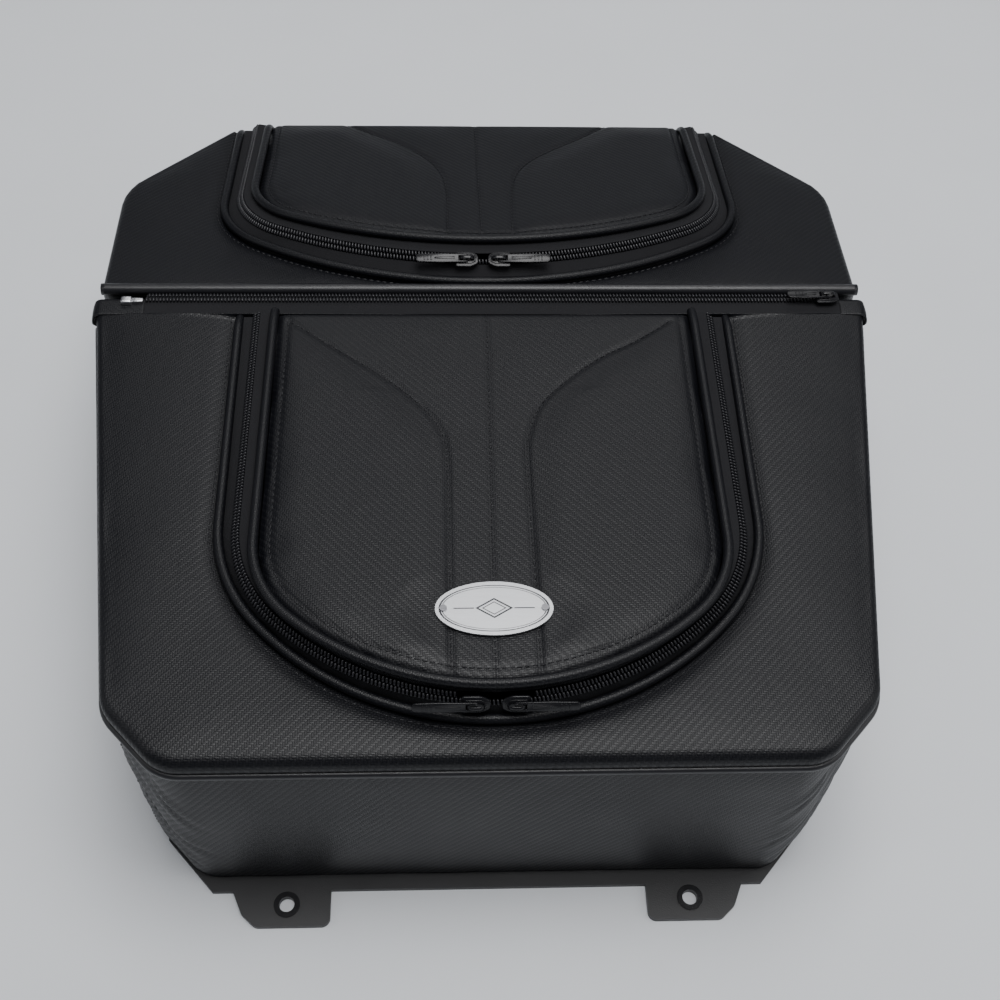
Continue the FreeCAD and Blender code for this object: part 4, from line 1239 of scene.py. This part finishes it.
# %% Main zip
def straight_teeth(section, left, right, y, offset):
    """Teeth along a straight edge of a section."""
    rotation = section.to_3x3()
    across, up = (rotation @ Vector(v) for v in ((0, 1, 0), (0, 0, 1)))
    count = int((left + right) / PITCH)
    return [(section @ (Vector((-left + (i + offset) * PITCH, y, 2.3)) * MM), across, up)
            for i in range(count)]


tooth_row("main_near_teeth", straight_teeth(NEAR, 244.4, 261.4, 0.5, 0.25), "bag",
          "main_near_coil", long=3.2, tall=2.2)
tooth_row("main_lid_teeth", straight_teeth(FAR, 244.4, 241.4, -262.4, 0.75), "lid",
          "main_lid_coil", long=3.2, tall=2.2)


# %% [markdown]
# ## Sliders and pulls
# A slider is a cast plate, narrow at its nose, with an arch over it. The pull's bar turns under the
# arch. Both start as a flat outline, get their thickness by extrusion, and lose every sharp edge to a
# small bevel, which is what catches the light on cast metal.

# %% Flat castings
def casting(name, outline, low, high, soft, finish, place, tips=(), tip_round=2.4):
    """A flat outline, in millimetres, raised between two heights and softened."""
    bm = bmesh.new()
    bmesh.ops.create_circle(bm, cap_ends=True, segments=len(outline), radius=1.0)
    for vert, (x, y) in zip(list(bm.verts), outline):
        vert.co = (x, y, low)
    top = bmesh.ops.extrude_face_region(bm, geom=bm.faces[:])["geom"]
    bmesh.ops.translate(bm, vec=(0, 0, high - low),
                        verts=[item for item in top if isinstance(item, bmesh.types.BMVert)])
    outward(bm)
    upright = [edge for edge in bm.edges
               if (edge.verts[0].co - edge.verts[1].co).to_2d().length < 1e-6
               and any((edge.verts[0].co.to_2d() - Vector(tip)).length < 0.1 for tip in tips)]
    if upright:
        bmesh.ops.bevel(bm, geom=upright, offset=tip_round, segments=5, profile=0.5,
                        affect="EDGES", material=-1)
    sharp = [edge for edge in bm.edges if edge.calc_face_angle(0.0) > math.radians(25)]
    bmesh.ops.bevel(bm, geom=sharp, offset=soft, segments=2, profile=0.5, affect="EDGES",
                    material=-1)
    bmesh.ops.transform(bm, matrix=place @ Matrix.Scale(MM, 4), verts=bm.verts[:])
    piece = keep(bm, name)
    piece.data.materials.append(finish)
    return piece


def joined(name, pieces):
    """Several pieces of one casting as a single object."""
    bm = bmesh.new()
    for piece in pieces:
        bm.from_mesh(piece.data)
    finish = pieces[0].data.materials[0]
    for piece in pieces:
        bpy.data.objects.remove(piece)
    whole = keep(bm, name)
    whole.data.materials.append(finish)
    return whole


def slider(name, place, body):
    """Plate, raised shoulder and arch; its zip runs along x."""
    plate = casting("plate", [(-8.5, -3.2), (-3, -6), (8.5, -6), (8.5, 6), (-3, 6), (-8.5, 3.2)],
                    0.0, 2.0, 0.55, ENAMEL, place,
                    tips=[(8.5, -6), (8.5, 6), (-3, -6), (-3, 6), (-8.5, -3.2), (-8.5, 3.2)],
                    tip_round=1.8)
    crown = casting("crown", [(-6.5, -2.2), (-3, -3.8), (6.5, -3.8), (6.5, 3.8), (-3, 3.8),
                              (-6.5, 2.2)],
                    1.8, 2.5, 0.3, ENAMEL, place)
    bow = [(-5.2, 1.8), (-5.0, 3.4), (-4.2, 4.9), (-2.6, 5.75), (0, 5.9), (2.6, 5.75),
           (4.2, 4.9), (5.0, 3.4), (5.2, 1.8)]
    arch_points = [place @ Vector((p.x * MM, 0, p.y * MM)) for p in smooth_line(bow, 0.7)]
    across = (place.to_3x3() @ Vector((0, 1, 0))).normalized()
    rows = []
    for i, point in enumerate(arch_points):
        ahead = arch_points[min(i + 1, len(arch_points) - 1)] - arch_points[max(i - 1, 0)]
        over = across.cross(ahead).normalized()
        rows.append([point + (1.5 * math.cos(a) * across + 0.5 * math.sin(a) * over) * MM
                     for a in (2 * math.pi * k / 10 for k in range(11))])
    arch = shell("arch", rows)
    arch.data.materials.append(ENAMEL)
    piece = joined(f"{name}_cast", [plate, crown, arch])
    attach(piece, body)
    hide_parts(name)
    return piece


def pull(name, place, body, long):
    """Flat pull with a window for the arch, a raised spine and three grip bars."""
    half, slot, window, heel = 3.6, 1.9, 6.1, -0.8
    outline = [(long, -half + 0.5), (long, half - 0.5), (long * 0.55, half), (heel, half - 0.4),
               (heel, slot), (window, slot), (window, -slot), (heel, -slot), (heel, -half + 0.4),
               (long * 0.55, -half)]
    tab = casting("tab", outline, -0.75, 0.75, 0.4, ENAMEL, place,
                  tips=[(long, -half + 0.5), (long, half - 0.5)], tip_round=2.6)
    bars = [casting("bar", [(x - 0.5, -2), (x + 0.5, -2), (x + 0.5, 2), (x - 0.5, 2)],
                    0.6, 1.1, 0.2, ENAMEL, place) for x in (long - 6.5, long - 9, long - 11.5)]
    spine = casting("spine", [(window + 3, -1.1), (long - 14, -0.7), (long - 14, 0.7),
                              (window + 3, 1.1)],
                    0.6, 1.05, 0.2, ENAMEL, place)
    bm = bmesh.new()
    bmesh.ops.create_cone(bm, cap_ends=True, segments=14, radius1=1.0 * MM, radius2=1.0 * MM,
                          depth=2 * slot * MM + MM, matrix=place @ Matrix.Rotation(math.pi / 2, 4, "X"))
    axle = keep(bm, "axle")
    axle.data.materials.append(ENAMEL)
    piece = joined(f"{name}_cast", [tab, spine, axle, *bars])
    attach(piece, body)
    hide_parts(name)
    return piece


# %% [markdown]
# Each slider sits astride its teeth with its pull looped on it, and both ride their own bodies.

# %% Set the sliders on their zips
BAND = {"near": (63.0, -1.0, 2.0), "far": (34.0, -2.0, 2.5)}


def nose_tip(half, leg, side, nose):
    """Local y of the outermost point of a U track."""
    return -(nose - (math.sqrt((nose - side) ** 2 - (half - side) ** 2) - leg))


TIPS = {side: nose_tip(*U_SIZES[f"{side}_coil"]) for side in SEATS}


def half_turn(facing):
    """No turn for a right-hand slider, half a turn for a left-hand one."""
    return Matrix.Rotation(0.0 if facing > 0 else math.pi, 4, "Z")


for side in ("near", "far"):
    lift, rise = COIL[side]
    tilt, off, float_up = BAND[side]
    height = lift - math.tan(math.radians(rise)) * TIPS[side]
    for hand, facing in (("left", -1), ("right", 1)):
        place = (SEATS[side] @ shifted(facing * 12, TIPS[side], height) @ turned(tilt)
                 @ shifted(0, off, float_up) @ half_turn(facing) @ shifted(0, 0, 0.35))
        slider(f"{side}_slider_{hand}", place, f"{side}_slider_{hand}")
        pull(f"{side}_pull_{hand}", place @ shifted(0, 0, 3.65), f"{side}_pull_{hand}", 38.0)
main_place = NEAR @ shifted(252.5, 0.8, 4.35) @ half_turn(-1)
slider("main_slider", main_place, "main_slider")
pull("main_pull", main_place @ shifted(0, 0, 3.65), "main_pull", 30.0)

# %% [markdown]
# The left end of the main zip is closed by a bright metal crimp, and at both ends the spare tape is
# folded over the edge of the bag and sewn down its side.

# %% End stop and folded tails
stop = joined("main_end_crimp", [
    casting("jaw", [(-262.0, -3.9), (-254.0, -3.9), (-254.0, 2.2), (-262.0, 2.2)], 0.4, 4.9, 1.2,
            BRIGHT, NEAR, tips=[(-262.0, -3.9), (-262.0, 2.2)], tip_round=1.6),
    casting("tongue", [(-255.0, -2.6), (-246.0, -2.0), (-246.0, 1.4), (-255.0, 2.0)], 0.6, 3.6, 0.8,
            BRIGHT, NEAR)])
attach(stop, "bag")
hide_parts("main_end_stop")


def zip_tail(name, side, start):
    """The end of the tape, folded over the edge and narrowing down the side."""
    fold = smooth_line([(start, 1.0), (272, 1.0), (278, 0.6), (281.6, -2.0), (283.3, -8),
                        (283.4, -13), (282.0, -22), (280.6, -30)], 1.6)
    rows = []
    for p in fold:
        down = max(0.0, -p.y) / 30
        front = -12.5 - 3.0 * math.sin(math.pi * min(1.0, down * 1.6)) + 11.5 * down
        back = 2.0 - 2.5 * down
        rows.append([(p, front + (back - front) * v, 0.5 * math.sin(math.pi * v))
                     for v in (i / 8 for i in range(9))])

    def spot(x, y, z):
        return Vector((side * x * MM, (RIDGE_Y + y) * MM,
                       (RIDGE_HEIGHT + z + math.tan(math.radians(NEAR_SLOPE)) * y) * MM))

    rings = []
    for row in rows:
        top = [spot(p.x + puff * 0.7, y, p.y + puff * 0.6) for p, y, puff in row]
        bottom = [spot(p.x - 1.1, y, p.y - 0.9) for p, y, _ in row]
        rings.append(top + bottom[::-1] + top[:1])
    piece = capped(f"{name}_fold", rings, BODY_VINYL)
    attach(piece, "bag")
    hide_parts(name)
    return piece


zip_tail("zip_tail_left", -1, 245.2)
zip_tail("zip_tail_right", 1, 262.2)

# %% [markdown]
# ## Camera and light
# The bag is seen from in front and well above. A big soft box hangs overhead and a weaker one stands over
# the far side, so the tops shine softly and the front wall falls into shade. Weak fills at both sides
# keep its seams readable.

# %% Floor
def floor():
    """A pale floor, large enough to fill the view."""
    bm = bmesh.new()
    bmesh.ops.create_grid(bm, x_segments=1, y_segments=1, size=6.0)
    piece = keep(bm, "studio_floor", smooth=False)
    recipe = Recipe("pale_floor", 0.7, specular=0.2)
    dust = recipe.cloud(6.0, 4.0)
    recipe.set(Base_Color=recipe.blend(dust, (0.72, 0.74, 0.77), (0.78, 0.80, 0.83)))
    piece.data.materials.append(recipe.material)
    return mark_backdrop(piece)


floor()


# %% [markdown]
# The camera stands in front and well above, turned and rolled a little.

# %% Camera
def camera():
    """A camera that looks down on the bag from the front."""
    lens = bpy.data.cameras.new("camera")
    lens.sensor_width, lens.lens = 36.0, 48.6
    lens.clip_start = 0.01
    yaw, pitch, roll = 0.0721, 0.9492, 0.05295
    forward = Vector((math.sin(yaw) * math.cos(pitch), math.cos(yaw) * math.cos(pitch),
                      -math.sin(pitch)))
    level = Vector((math.cos(yaw), -math.sin(yaw), 0))
    rising = level.cross(forward)
    right = math.cos(roll) * level + math.sin(roll) * rising
    up = -math.sin(roll) * level + math.cos(roll) * rising
    eye = bpy.data.objects.new("camera", lens)
    eye.matrix_world = Matrix((right, up, -forward)).transposed().to_4x4()
    eye.location = (-0.0305, -0.6273, 0.9290)
    bpy.context.scene.collection.objects.link(eye)
    bpy.context.scene.camera = eye
    return eye


print("camera at", tuple(round(value, 3) for value in camera().location))


# %% [markdown]
# The lamps are large, so the vinyl's highlights stay broad and soft.

# %% Lights
def soft_light(name, place, aim, wide, tall, power):
    """A rectangular soft box that faces a point."""
    lamp = bpy.data.lights.new(name, "AREA")
    lamp.shape, lamp.size, lamp.size_y, lamp.energy = "RECTANGLE", wide, tall, power
    box = bpy.data.objects.new(name, lamp)
    box.location = place
    box.rotation_euler = (Vector(aim) - Vector(place)).to_track_quat("-Z", "Y").to_euler()
    bpy.context.scene.collection.objects.link(box)
    return box


soft_light("overhead", (0.2, -0.15, 2.6), (0, 0, 0.1), 1.6, 1.6, 66.0)
soft_light("over_far_side", (0.25, 1.7, 1.9), (0, 0.1, 0.15), 2.4, 0.9, 13.0)
soft_light("left_fill", (-1.9, -0.3, 1.3), (0, 0, 0.1), 1.2, 1.2, 5.0)
soft_light("right_fill", (1.9, -0.6, 1.2), (0, 0, 0.1), 1.2, 1.2, 8.0)
world = bpy.data.worlds.new("studio")
world.use_nodes = True
world.node_tree.nodes["Background"].inputs["Color"].default_value = (0.80, 0.84, 0.92, 1)
world.node_tree.nodes["Background"].inputs["Strength"].default_value = 0.14
bpy.context.scene.world = world
print("lamps:", [lamp.name for lamp in bpy.data.lights])
